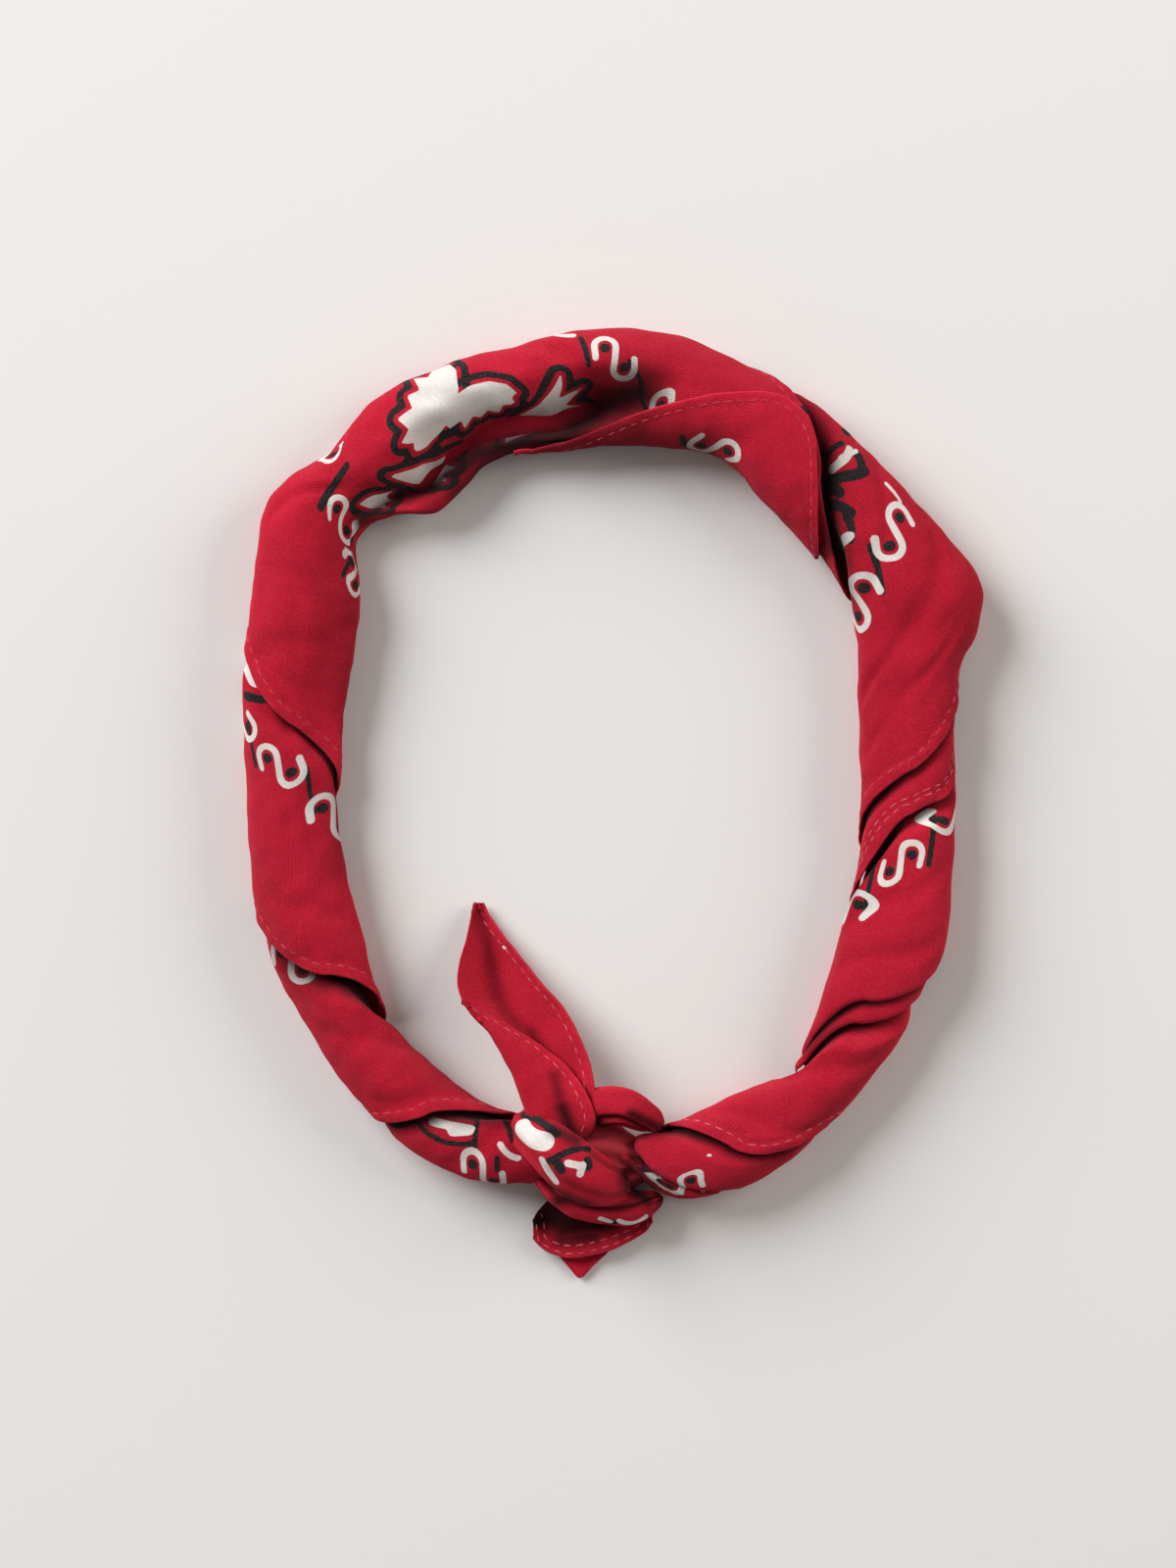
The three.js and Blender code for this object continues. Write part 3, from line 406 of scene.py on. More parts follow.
# The print: plain S scrolls, their mirror images (z), straight and bowed strokes, petals and
# buds, all of this script's own drawing and none traced. Each lies between two places seen
# from above, in mm. size is a scroll's scale, and the width of any other motif in mm.
PRINT_COLUMNS = "piece kind x1 y1 x2 y2 size bend"
PRINTS = [
    dict(zip(PRINT_COLUMNS.split(), row))
    for row in (
        ("crown", "s", -1.8, 124.6, 3.4, 119.2, 1, 0),
        ("crown", "s", 13.4, 108.7, 18.2, 103.0, 1, 0),
        ("crown", "dark", -8.2, 128.1, -6.1, 120.8, 1.6, 0),
        ("crown", "dark", 8.8, 119.5, 7.7, 108.1, 1.5, 0),
        ("crown", "s", -79.5, 100.0, -77.6, 94.4, 1, 0),
        ("crown", "dark", -72.8, 92.2, -80.9, 80.9, 2.2, 0),
        ("crown", "s", -76.0, 80.9, -73.8, 74.9, 0.95, 0),
        ("crown", "dark", -70.6, 71.1, -73.6, 63.3, 1.3, 0),
        ("crown", "s", -71.1, 65.2, -70.3, 60.2, 0.82, 0),
        ("crown", "dark", 53.9, 111.1, 58.2, 109.5, 2.6, 0),
        ("crown", "dark", -47.7, 117.0, -43.9, 119.7, 2.4, 0),
        ("crown", "petal", -46.0, 120.8, -54.1, 98.1, 15, 0),
        ("crown", "petal", -46.0, 104.9, -26.6, 113.8, 12, 0),
        ("crown", "bud", -33.6, 101.4, -6.6, 112.7, 15, 0),
        ("crown", "bud", -61.2, 88.4, -42.8, 93.3, 10, 0),
        ("crown", "bud", -69.8, 82.5, -61.2, 83.6, 6, 0),
        ("crown", "white", -17.1, 129.2, -9.9, 129.2, 1.7, -1.6),
        ("corner_flap", "z", 25.2, 98.7, 31.5, 96.7, 1, 0),
        ("corner_flap", "dark", 19.0, 100.0, 19.6, 98.1, 1.9, 0),
        ("right_upper", "dark", 59.0, 89.5, 69.5, 91.1, 3.2, -0.6),
        ("right_upper", "dark", 68.4, 91.7, 66.8, 96.5, 2.6, -0.6),
        ("right_upper", "dark", 58.7, 94.4, 63.6, 99.2, 1.6, 0.5),
        ("right_upper", "dark", 63.0, 104.1, 68.4, 100.8, 3.0, 0),
        ("right_upper", "white", 60.6, 92.2, 65.7, 97.1, 2.6, -0.6),
        ("right_upper", "white", 63.6, 94.9, 67.4, 96.5, 1.4, 0),
        ("right_upper", "dark", 58.7, 85.5, 62.5, 84.9, 3.2, 0.8),
        ("right_upper", "dark", 59.8, 81.4, 64.7, 79.2, 3.0, 0.9),
        ("right_upper", "dark", 64.1, 78.2, 65.2, 72.2, 2.2, 0.8),
        ("right_upper", "dark", 58.7, 74.1, 60.9, 67.9, 1.6, -0.4),
        ("right_upper", "white", 61.7, 69.5, 64.1, 73.3, 2.8, -0.4),
        ("right_upper", "dark", 70.9, 71.1, 74.4, 58.2, 1.9, 0),
        ("right_upper", "white", 75.5, 87.9, 79.2, 83.3, 0.9, 0),
        ("right_upper", "z", 79.2, 77.9, 76.5, 70.6, 1.1, 0),
        ("right_upper", "z", 69.0, 58.5, 67.6, 51.2, 1.1, 0),
        ("right_mid", "z", 75.7, -18.5, 81.9, -14.2, 1, 0),
        ("right_mid", "dark", 88.7, -3.1, 87.1, -16.6, 1.7, 0),
        ("right_mid", "dark", 71.4, -18.0, 69.0, -28.8, 1.4, 0),
        ("right_mid", "z", 91.9, -5.5, 96.3, -3.4, 1, 0),
        ("right_mid", "z", 62.5, -29.8, 66.0, -26.6, 1, 0),
        ("right_mid", "dark", 84.4, -1.5, 86.0, -0.4, 1.9, 0),
        ("left_mid", "s", -94.6, 12.0, -88.4, 8.0, 1, 0),
        ("left_mid", "dark", -100.0, 22.8, -98.1, 9.6, 1.0, 0),
        ("left_mid", "dark", -83.8, 9.9, -82.2, -2.8, 1.5, 0),
        ("left_mid", "s", -78.7, -1.2, -74.4, -6.1, 1, 0),
        ("left_mid", "s", -106.2, 23.4, -101.9, 19.6, 1, 0),
        ("left_mid", "white", -100.9, 42.4, -98.6, 34.8, 5.6, 0.4),
        ("left_mid", "dark", -101.1, 30.1, -93.8, 29.0, 2.4, -0.6),
        ("left_low", "s", -90.6, -41.7, -85.7, -46.0, 1, 0),
        ("left_end", "dark", -64.9, -86.3, -53.9, -86.8, 1.5, -1.8),
        ("left_end", "dark", -53.9, -86.8, -47.7, -92.7, 1.5, -0.6),
        ("left_end", "dark", -47.7, -92.7, -37.7, -93.6, 1.5, -0.5),
        ("left_end", "dark", -37.7, -93.6, -36.9, -86.0, 1.5, 0),
        ("left_end", "white", -49.8, -87.3, -39.6, -89.2, 2.4, 0),
        ("left_end", "white", -44.4, -89.8, -39.6, -89.8, 2.8, 0),
        ("left_end", "dark", -31.5, -84.4, -27.9, -91.1, 1.5, 0.4),
        ("left_end", "s", -38.5, -99.2, -32.8, -103.8, 1, 0),
        ("left_end", "dark", -31.7, -97.3, -31.7, -100.6, 1.6, 0),
        ("left_end", "white", -30.9, -93.6, -25.8, -97.6, 1.7, -0.8),
        ("knot_front_wrap", "dark", -24.2, -85.2, -16.0, -89.6, 3.2, 1.0),
        ("knot_front_wrap", "white", -25.0, -88.6, -18.6, -92.0, 5.6, -1.0),
        ("knot_front_wrap", "dark", -16.3, -96.8, -6.1, -93.3, 1.9, 0.6),
        ("knot_front_wrap", "white", -19.6, -97.1, -15.8, -103.5, 2.0, 0),
        ("knot_front_wrap", "dark", -14.4, -98.4, -13.9, -99.5, 2.8, 0),
        ("knot_front_wrap", "white", -12.0, -97.6, -8.2, -98.4, 2.0, 0),
        ("knot_front_wrap", "white", -8.2, -98.4, -9.0, -100.6, 2.0, 0),
        ("knot_front_wrap", "dark", -6.3, -97.6, -6.3, -99.0, 2.8, 0),
        ("knot_lower_wrap", "white", -3.1, -114.1, -0.7, -114.9, 1.6, 0),
        ("knot_lower_wrap", "white", 2.0, -115.4, 9.3, -114.3, 1.7, -0.9),
        ("knot_lower_wrap", "dark", 0.1, -115.2, 0.7, -115.4, 2.2, 0),
        ("knot_back_loop", "white", 9.3, -90.3, 12.8, -90.9, 1.6, 0),
        ("right_end", "white", 26.9, -96.5, 27.2, -96.5, 0.8, 0),
        ("right_end", "z", 16.1, -106.8, 22.3, -104.9, 1, 0),
        ("right_tip", "z", 16.1, -106.8, 22.3, -104.9, 1, 0),
        ("right_tip", "dark", 8.8, -100.6, 13.1, -103.5, 2.4, 0),
        ("long_tail", "white", -30.1, -39.6, -29.6, -39.6, 1.1, 0),
    )
]

# Shade painted into the colour, deep in the folds, under other parts and on sides turned away
# from the light, along lines seen from above, with its reach in mm and its strength.
SHADE_COLUMNS = "piece x1 y1 x2 y2 reach strength"
SHADES = [
    dict(zip(SHADE_COLUMNS.split(), row))
    for row in (
        ("crown", 7.4, 112.7, -3.9, 108.4, 7.6, 1),
        ("crown", -3.9, 107.3, -12.0, 102.2, 6.0, 1),
        ("crown", -13.1, 101.4, -26.1, 99.0, 5.0, 1),
        ("crown", -26.1, 99.0, -36.9, 96.3, 5.8, 1),
        ("crown", -36.9, 96.3, -44.4, 90.9, 5.4, 1),
        ("crown", -44.4, 91.7, -49.8, 87.1, 3.0, 1),
        ("crown", -49.8, 87.1, -59.5, 84.4, 2.2, 0.95),
        ("crown", -59.5, 84.4, -69.8, 77.6, 2.2, 0.95),
        ("crown", -26.1, 97.1, -35.8, 91.7, 4.6, 0.95),
        ("crown", -35.8, 91.7, -43.9, 86.2, 4.2, 0.75),
        ("crown", -43.9, 86.2, -49.8, 81.5, 3.6, 0.5),
        ("crown", -70.3, 70.1, -74.7, 32.3, 8.0, 0.35),
        ("crown", 59.8, 94.4, 59.8, 70.1, 3.0, 0.8),
        ("corner_flap", -17.4, 99.8, 8.0, 101.6, 6.0, 0.7),
        ("corner_flap", 8.0, 101.6, 25.8, 97.6, 6.0, 0.55),
        ("corner_flap", 25.8, 96.5, 47.4, 75.5, 4.0, 0.3),
        ("left_mid", -74.1, 5.3, -75.5, -16.3, 6.0, 0.3),
        ("right_upper", 57.6, 97.1, 60.3, 63.3, 3.4, 1),
        ("short_tail", -17.4, -115.2, -10.7, -116.2, 6.4, 1),
        ("short_tail", -13.4, -117.9, -0.7, -115.2, 5.4, 1),
        ("short_tail", -14.2, -120.6, -5.0, -120.0, 3.4, 0.9),
        ("short_tail_under", -17.4, -124.3, 4.2, -122.2, 2.4, 0.8),
        ("knot_front_wrap", -15.8, -89.2, -9.9, -91.9, 2.2, 0.8),
        ("knot_front_wrap", 2.6, -96.8, 4.2, -105.4, 2.4, 0.9),
        ("knot_front_wrap", -18.5, -104.4, -6.6, -109.8, 1.4, 0.7),
        ("knot_core", -6.6, -91.9, 5.5, -108.1, 6.0, 1),
        ("knot_lower_wrap", -14.7, -109.2, 4.2, -106.5, 2.4, 0.95),
        ("knot_lower_wrap", 5.8, -106.0, 9.6, -109.2, 2.6, 1),
        ("knot_back_loop", -3.4, -88.2, 4.2, -93.6, 3.0, 0.9),
        ("knot_back_loop", 5.3, -84.9, 14.4, -89.8, 1.6, 0.9),
        ("long_tail", -11.2, -89.2, -14.7, -75.2, 2.0, 0.95),
        ("long_tail", -14.7, -75.2, -22.8, -62.8, 1.8, 0.6),
        ("long_tail_fold", -10.4, -91.9, -13.6, -83.3, 2.4, 0.95),
        ("long_tail_fold", -13.6, -83.3, -15.8, -74.7, 1.8, 0.6),
        ("right_end", 6.9, -89.2, 17.7, -89.2, 2.2, 0.8),
        ("right_end", 4.2, -94.1, 8.0, -102.7, 1.8, 0.6),
        ("right_tip", 4.2, -100.0, 9.6, -106.0, 3.0, 0.9),
    )
]


def mix(a, b, share):
    """The value that lies a share of the way from a to b."""
    return a + (b - a) * share


def smooth(share):
    """An eased step from 0 to 1."""
    t = np.clip(share, 0, 1)
    return t * t * (3 - 2 * t)


def read(rows, key, column, at):
    """A smooth reading of one column of a table, at values of its key column."""
    keys, values = rows[key], rows[column]
    at = np.asarray(at, float)
    if keys[1] < keys[0]:
        keys, at = -keys, -at
    last = len(keys) - 1
    i = np.clip(np.searchsorted(keys, at), 1, last)
    span = keys[i] - keys[i - 1]
    t = np.clip((at - keys[i - 1]) / span, 0, 1)
    low = np.clip(np.arange(last + 1) - 1, 0, last)
    high = np.clip(np.arange(last + 1) + 1, 0, last)
    slope = (values[high] - values[low]) / (keys[high] - keys[low])
    return (
        (2 * t**3 - 3 * t**2 + 1) * values[i - 1]
        + (t**3 - 2 * t**2 + t) * slope[i - 1] * span
        + (3 * t**2 - 2 * t**3) * values[i]
        + (t**3 - t**2) * slope[i] * span
    )


def edge_angle(name, girth):
    """The angle at which an edge crosses the band, at shares of the girth."""
    rows = {"girth": np.array(EDGE_GIRTHS), "angle": np.array(EDGES[name], float)}
    return read(rows, "girth", "angle", girth)


# The share of the girth over which a crease starts and ends.
CREASE_FADE = 0.08


def pressed(lines, angle, girth):
    """How far lines of creases press the surface in."""
    depth = np.zeros(np.broadcast(angle, girth).shape)
    for line in lines:
        at = mix(line["outer"], line["inner"], (girth - 0.25) * 2)
        starts = smooth((girth - line["from"]) / CREASE_FADE)
        fade = starts * smooth((line["to"] - girth) / CREASE_FADE)
        depth += line["depth"] * fade * np.exp(-(((angle - at) / line["width"]) ** 2))
    return depth


def hollow_drop(angle, girth):
    """How far the hollow takes the crown down, in mm."""
    away = (girth - read(HOLLOW, "angle", "girth", angle)) / HOLLOW_WIDTH
    return read(HOLLOW, "angle", "drop", angle) * np.exp(-(away**2))


def band_point(angle, girth, sunk, folds=0.0, slump=1.0, hollow=1.0):
    """Points of the band at angles round the ring and shares of the girth, in mm."""
    angle, girth = np.broadcast_arrays(np.asarray(angle, float), np.asarray(girth, float))
    inner = read(BAND, "angle", "inner", angle)
    outer = read(BAND, "angle", "outer", angle)
    height = read(BAND, "angle", "height", angle)
    depth = sunk + pressed(CREASES, angle, girth)
    if folds:
        depth = depth + folds * pressed(FOLDS, angle, girth)
    turn = np.radians(girth * 360 - 90)
    across_part = np.sign(np.cos(turn)) * np.abs(np.cos(turn)) ** (2 / SECTION_POWER)
    up = np.sign(np.sin(turn)) * np.abs(np.sin(turn)) ** (2 / SECTION_POWER)
    slope = smooth((girth - 0.44) / 0.16)
    up = up * (1 - slump * read(SLUMP, "angle", "share", angle) * slope)
    middle = height / 2
    reach = np.where(up < 0, middle * UNDERSIDE_FLATNESS, middle)
    radius = (inner + outer) / 2 + ((outer - inner) / 2 - depth) * across_part
    z = np.maximum(sunk, middle + (reach - depth) * up - hollow * hollow_drop(angle, girth))
    x = RING_CENTRE[0] + radius * np.cos(np.radians(angle))
    y = RING_CENTRE[1] + radius * np.sin(np.radians(angle))
    return np.stack([x, y, z], axis=-1)


def girth_across(across):
    """The share of the girth at a place across the top, from 0, inner, to 1, outer."""
    side = np.clip(2 * across - 1, -1, 1)
    cosine = np.sign(side) * np.abs(side) ** (SECTION_POWER / 2)
    return (np.degrees(np.arccos(cosine)) + 90) / 360


def run_length(points, axis):
    """The distance run along one axis of a grid of points."""
    steps = np.linalg.norm(np.diff(points, axis=axis), axis=-1)
    start = np.zeros_like(np.take(steps, [0], axis=axis))
    return np.cumsum(np.concatenate([start, steps], axis=axis), axis=axis)


def unit(vectors):
    """The vectors at length one."""
    return vectors / np.maximum(np.linalg.norm(vectors, axis=-1, keepdims=True), 1e-9)


def grid_normals(points, around=False):
    """Unit normals of a grid of points; around says that its columns close on themselves."""
    if around:
        wide = np.concatenate([points[:, -1:], points, points[:, :1]], axis=1)
        across = (wide[:, 2:] - wide[:, :-2]) / 2
    else:
        across = np.gradient(points, axis=1)
    return unit(np.cross(np.gradient(points, axis=0), across))


def ripple(points, size, seed):
    """Soft noise from -1 to 1 at points in mm, the same on each run."""
    rng = np.random.default_rng(seed)
    value = np.zeros(points.shape[:-1])
    waves = 9
    for _ in range(waves):
        direction = rng.normal(size=3)
        direction /= np.linalg.norm(direction) * size * rng.uniform(0.6, 1.5)
        value += np.sin(points @ direction * 2 * np.pi + rng.uniform(0, 2 * np.pi))
    return value / np.sqrt(waves)


# A hem's unevenness, the size of its waves and their seed, the width of the step at its inner
# side, and the half width of the groove that its stitches pull in, in mm.
PUCKER = 0.3
PUCKER_SIZE = 5.0
PUCKER_SEED = 3
HEM_STEP = 0.8
GROOVE = 0.5


class Cloth:
    """One ply of cloth: a grid of points on its face, and how far each lies from an edge.

    around says that the columns close on themselves, and flip that the face is on the other
    side of the grid. A turned edge is a hem, and any other a plain fold. ends is the number
    of hems that the grid runs between, of which the first ones, sewn, carry stitches. The
    last argument is painted shade: how far each point's colour is darkened, from 0 to 1,
    where it lies deep in a fold or under another part.
    """

    def __init__(
        self,
        points,
        edge=None,
        around=False,
        flip=False,
        turned=False,
        ends=1,
        sewn=None,
        gloom=0.0,
    ):
        self.points = points
        self.edge = np.full(points.shape[:2], FAR) if edge is None else edge
        self.around = around
        self.side = -1 if flip else 1
        self.turned = turned
        self.ends = ends
        self.sewn = ends if sewn is None else sewn
        self.gloom = np.broadcast_to(gloom, points.shape[:2])

    def normals(self):
        """Unit normals that point out of the face."""
        return grid_normals(self.points, self.around) * self.side

    def rounding(self, settings):
        """How far the edge's rounding takes each point down."""
        radius = settings.edge_radius if self.turned else settings.fold_radius
        near = np.clip(radius - self.edge, 0, radius)
        return radius - np.sqrt(radius**2 - near**2)

    def hem_lift(self, settings):
        """How far the turned layers of a hem raise each point."""
        if not self.turned:
            return np.zeros_like(self.edge)
        pucker = 1 + PUCKER * ripple(self.points, PUCKER_SIZE, PUCKER_SEED)
        inside = smooth((settings.hem_width - self.edge) / HEM_STEP)
        return settings.hem_rise * pucker * inside

    def shape_edge(self, settings):
        """Rounds the edge off, and raises a turned hem and pulls its seam in."""
        lift = self.hem_lift(settings) - self.rounding(settings)
        if self.turned:
            from_seam = (self.edge - settings.stitch_inset) / GROOVE
            lift = lift - settings.stitch_pull * np.exp(-(from_seam**2))
        self.raise_face(lift)

    def drape(self, amount, size, seed):
        """Gives the cloth its soft unevenness."""
        self.raise_face(amount * ripple(self.points, size, seed))

    def raise_face(self, lift):
        """Moves each point out along its normal, and none below the floor."""
        self.points = self.points + self.normals() * lift[..., None]
        self.points[..., 2] = np.maximum(self.points[..., 2], LOWEST)


# The least height of a unit normal that counts as facing up.
FACES_UP = 0.05


def near_top(cloth, x, y):
    """The grid place of the cloth's face that lies nearest to a spot seen from above."""
    faces_up = cloth.normals()[..., 2] > FACES_UP
    away = np.hypot(cloth.points[..., 0] - x, cloth.points[..., 1] - y)
    return np.unravel_index(np.argmin(np.where(faces_up, away, np.inf)), away.shape)


def flattened(cloth, row, column, direction):
    """Where each point of the cloth lies once it is spread flat, from one grid place, with
    the first axis along a direction given in plan, in mm."""
    points = cloth.points
    along, across = np.gradient(points, axis=0), np.gradient(points, axis=1)
    normal = cloth.normals()[row, column]
    slope = -np.dot(direction, normal[:2]) / max(normal[2], FACES_UP)
    first = unit(np.array([*direction, slope]))
    second = np.cross(normal, first)
    run_rows = run_length(points, 0)
    run_columns = run_length(points, 1)
    down = run_rows - run_rows[row : row + 1]
    over = run_columns - run_columns[:, column : column + 1]
    if cloth.around:
        closing = np.linalg.norm(points[:, -1] - points[:, 0], axis=-1)
        girth = run_columns[:, -1:] + closing[:, None]
        over = (over + girth / 2) % girth - girth / 2
    place = np.zeros(points.shape[:2] + (2,))
    for run, tangent in ((down, unit(along[row, column])), (over, unit(across[row, column]))):
        place[..., 0] += run * np.dot(tangent, first)
        place[..., 1] += run * np.dot(tangent, second)
    return place


def to_segment(place, a, b):
    """Distances from flat places to a straight segment."""
    a, b = np.array(a, float), np.array(b, float)
    along = b - a
    share = np.clip(((place - a) @ along) / max(along @ along, 1e-9), 0, 1)
    return np.linalg.norm(place - a - share[..., None] * along, axis=-1)


def to_path(place, path):
    """Distances from flat places to a line through several points."""
    return np.min([to_segment(place, a, b) for a, b in zip(path[:-1], path[1:])], axis=0)


def to_dots(place, dots):
    """Distances from flat places to the nearest of several dots."""
    return np.min([np.linalg.norm(place - np.array(dot), axis=-1) for dot in dots], axis=0)


def arc(centre, radius, start, end, steps=9):
    """Points on an arc between two angles in degrees."""
    turns = np.radians(np.linspace(start, end, steps))
    return [(centre[0] + radius * np.cos(t), centre[1] + radius * np.sin(t)) for t in turns]


def bowed(length, bend, steps=9):
    """A stroke that bows by bend to the left of its run."""
    along = np.linspace(-1, 1, steps)
    return [(length / 2 * t, bend * (1 - t**2)) for t in along]


# An S scroll: two bowls joined by a straight stroke, with a dot in each bowl. BOWL and DOT
# are radii, HALF_STROKE is half the straight stroke's length, SCROLL_TAIL is how far each
# end runs on past its bowl and TAIL_LEAN how far it leans in, and STROKE is the line's width.
BOWL = 2.9
HALF_STROKE = 3.0
SCROLL_TAIL = 3.4
TAIL_LEAN = 0.5
STROKE = 1.75
DOT = 1.45
DOT_AT = (BOWL, HALF_STROKE - 0.5)

# The dark line round a petal or a bud: how far its middle lies outside the shape, its half
# width, and how much the white spreads, in mm.
OUTLINE_GAP = 2.5
OUTLINE_HALF = 1.05
WHITE_SPREAD = 0.2


def scroll(place):
    """An S scroll's white and dark gaps. Its first axis runs from dot to dot."""
    turn = np.arctan2(DOT_AT[1], DOT_AT[0])
    across = np.array([[np.cos(turn), -np.sin(turn)], [np.sin(turn), np.cos(turn)]])
    local = place @ across
    path = [(-2 * BOWL + TAIL_LEAN, HALF_STROKE - SCROLL_TAIL)]
    path += arc((-BOWL, HALF_STROKE), BOWL, 180, 0)
    path += arc((BOWL, -HALF_STROKE), BOWL, 180, 360)
    path += [(2 * BOWL - TAIL_LEAN, SCROLL_TAIL - HALF_STROKE)]
    dots = [(-DOT_AT[0], DOT_AT[1]), (DOT_AT[0], -DOT_AT[1])]
    return to_path(local, path) - STROKE / 2, to_dots(local, dots) - DOT


# The outlines of a petal and of a bud, as shares of half their length and half their width.
OUTLINES = {
    "petal": (
        (-1.0, 0.05), (-0.86, 0.48), (-0.5, 0.84), (0.0, 1.0), (0.5, 0.88), (0.86, 0.52),
        (1.0, 0.0), (0.8, -0.12), (0.86, -0.6), (0.56, -0.42), (0.42, -0.98), (0.16, -0.5),
        (-0.06, -0.86), (-0.24, -0.46), (-0.52, -1.0), (-0.56, -0.4), (-0.9, -0.52),
    ),
    "bud": (
        (-1.0, 0.0), (-0.6, 0.4), (-0.1, 0.62), (0.3, 0.62), (1.0, 1.0), (0.58, 0.34),
        (1.0, -0.06), (0.5, -0.2), (0.72, -0.86), (0.2, -0.6), (-0.3, -0.56), (-0.7, -0.3),
    ),
}


def outlined(place, outline, length, width):
    """The gaps of a closed shape and of the dark line drawn round it."""
    corners = [(u * length / 2, v * width / 2) for u, v in outline]
    x, y = place[..., 0], place[..., 1]
    inside = np.zeros(x.shape, bool)
    for (x1, y1), (x2, y2) in zip(corners, corners[1:] + corners[:1]):
        if y1 != y2:
            crosses = (y1 > y) != (y2 > y)
            inside ^= crosses & (x < x1 + (x2 - x1) * (y - y1) / (y2 - y1))
    out = to_path(place, corners + corners[:1])
    out = np.where(inside, -out, out)
    return out - WHITE_SPREAD, np.abs(out - OUTLINE_GAP) - OUTLINE_HALF


# The least length of a stroke, in mm.
SHORTEST_STROKE = 0.1


def motif(kind, place, length, size, bend):
    """How far flat places lie outside the white and the dark part of a motif, whose first
    axis runs from its first to its second place and whose origin is halfway between."""
    far = np.full(place.shape[:2], FAR)
    if kind in ("s", "z"):
        return scroll(place / size * (1, -1 if kind == "z" else 1))
    if kind in OUTLINES:
        return outlined(place, OUTLINES[kind], length, size)
    gap = to_path(place, bowed(length, bend)) - size / 2
    return (gap, far) if kind == "white" else (far, gap)


def printed(cloth, name):
    """How far each point lies outside the white and the dark print."""
    white = np.full(cloth.points.shape[:2], FAR)
    dark = white.copy()
    for row in PRINTS:
        if row["piece"] != name:
            continue
        start, end = np.array([row["x1"], row["y1"]]), np.array([row["x2"], row["y2"]])
        spot = near_top(cloth, *((start + end) / 2))
        reach = np.linalg.norm(end - start)
        direction = (end - start) / reach if reach > 0 else np.array([1.0, 0.0])
        place = flattened(cloth, *spot, direction)
        length = np.linalg.norm(place[near_top(cloth, *start)] - place[near_top(cloth, *end)])
        length = max(length, SHORTEST_STROKE)
        new_white, new_dark = motif(row["kind"], place, length, row["size"], row["bend"])
        white = np.minimum(white, new_white)
        dark = np.minimum(dark, new_dark)
    return white, dark


def shaded(cloth, name):
    """The shade painted into the cloth's colour: its own, with the painted shades that the
    table adds on it.
    """
    gloom = cloth.gloom
    for row in SHADES:
        if row["piece"] == name:
            start, end = (row["x1"], row["y1"]), (row["x2"], row["y2"])
            away = to_segment(cloth.points[..., :2], start, end) / row["reach"]
            gloom = np.maximum(gloom, row["strength"] * np.exp(-(away**2)))
    return gloom


# How far the rounding of an edge thins the ply, and the distance from any print, in mm, that
# stands for the plain reverse.
EDGE_THINS = 0.9
UNPRINTED = 9.0


def shell(name, cloth, settings, material):
    """A closed mesh of one ply: its face, its reverse and the edges between them."""
    face = cloth.points
    rows, columns = face.shape[:2]
    normal = cloth.normals()
    depth = settings.ply + cloth.hem_lift(settings) - EDGE_THINS * cloth.rounding(settings)
    back = face - normal * np.maximum(depth, THINNEST)[..., None]
    back[..., 2] = np.maximum(back[..., 2], REVERSE_LOWEST)
    points = np.concatenate([face.reshape(-1, 3), back.reshape(-1, 3)]) * MM
    index = np.arange(rows * columns).reshape(rows, columns)
    over = np.roll(index, -1, axis=1) if cloth.around else index[:, 1:]
    here = index if cloth.around else index[:, :-1]
    quads = np.stack([here[:-1], here[1:], over[1:], over[:-1]], axis=-1).reshape(-1, 4)
    other = rows * columns
    faces = [quads, quads[:, ::-1] + other]
    borders = [index[0], index[-1]]
    if not cloth.around:
        borders += [index[:, 0], index[:, -1]]
    for k, line in enumerate(borders):
        ring = np.append(line, line[0]) if cloth.around else line
        strip = np.stack([ring[:-1], ring[1:], ring[1:] + other, ring[:-1] + other], axis=-1)
        faces.append(strip if k in (0, 3) else strip[:, ::-1])
    faces = np.concatenate(faces)
    if signed_volume(points, faces) < 0:
        faces = faces[:, ::-1]
    mesh = bpy.data.meshes.new(name)
    mesh.from_pydata(points.tolist(), [], faces.tolist())
    mesh.polygons.foreach_set("use_smooth", np.ones(len(mesh.polygons), bool))
    white, dark = printed(cloth, name.removesuffix("_cloth"))
    reverse = np.full(rows * columns, UNPRINTED)
    put(mesh, "print_white", np.append(white.ravel(), reverse))
    put(mesh, "print_dark", np.append(dark.ravel(), reverse))
    put(mesh, "edge_near", np.append(cloth.edge.ravel(), cloth.edge.ravel()))
    # Painted shade: each point carries how far its colour is darkened, on the face and the
    # reverse alike.
    gloom = shaded(cloth, name.removesuffix("_cloth")).ravel()
    put(mesh, "gloom", np.append(gloom, gloom))
    flat = np.stack([run_length(face, 0), run_length(face, 1)], axis=-1).reshape(-1, 2) * MM
    set_uv(mesh, np.concatenate([flat, flat]))
    mesh.materials.append(material)
    mesh.update()
    return new_object(name, mesh)


def signed_volume(points, faces):
    """The volume inside a closed mesh of quads, negative where its faces point inwards."""
    a, b, c, d = (points[faces[:, k]] for k in range(4))
    total = np.einsum("ij,ij->i", a, np.cross(b, c)) + np.einsum("ij,ij->i", a, np.cross(c, d))
    return total.sum() / 6


def put(mesh, name, values):
    """Gives the mesh's points one number each, for its material to read."""
    attribute = mesh.attributes.new(name, "FLOAT", "POINT")
    attribute.data.foreach_set("value", np.asarray(values, np.float32))


def set_uv(mesh, flat):
    """Lays the mesh out flat, in metres of cloth."""
    layer = mesh.uv_layers.new(name="cloth")
    corners = np.zeros(len(mesh.loops), int)
    mesh.loops.foreach_get("vertex_index", corners)
    layer.data.foreach_set("uv", flat[corners].astype(np.float32).ravel())


def new_object(name, data):
    """Adds an object to the scene."""
    piece = bpy.data.objects.new(name, data)
    bpy.context.scene.collection.objects.link(piece)
    return piece


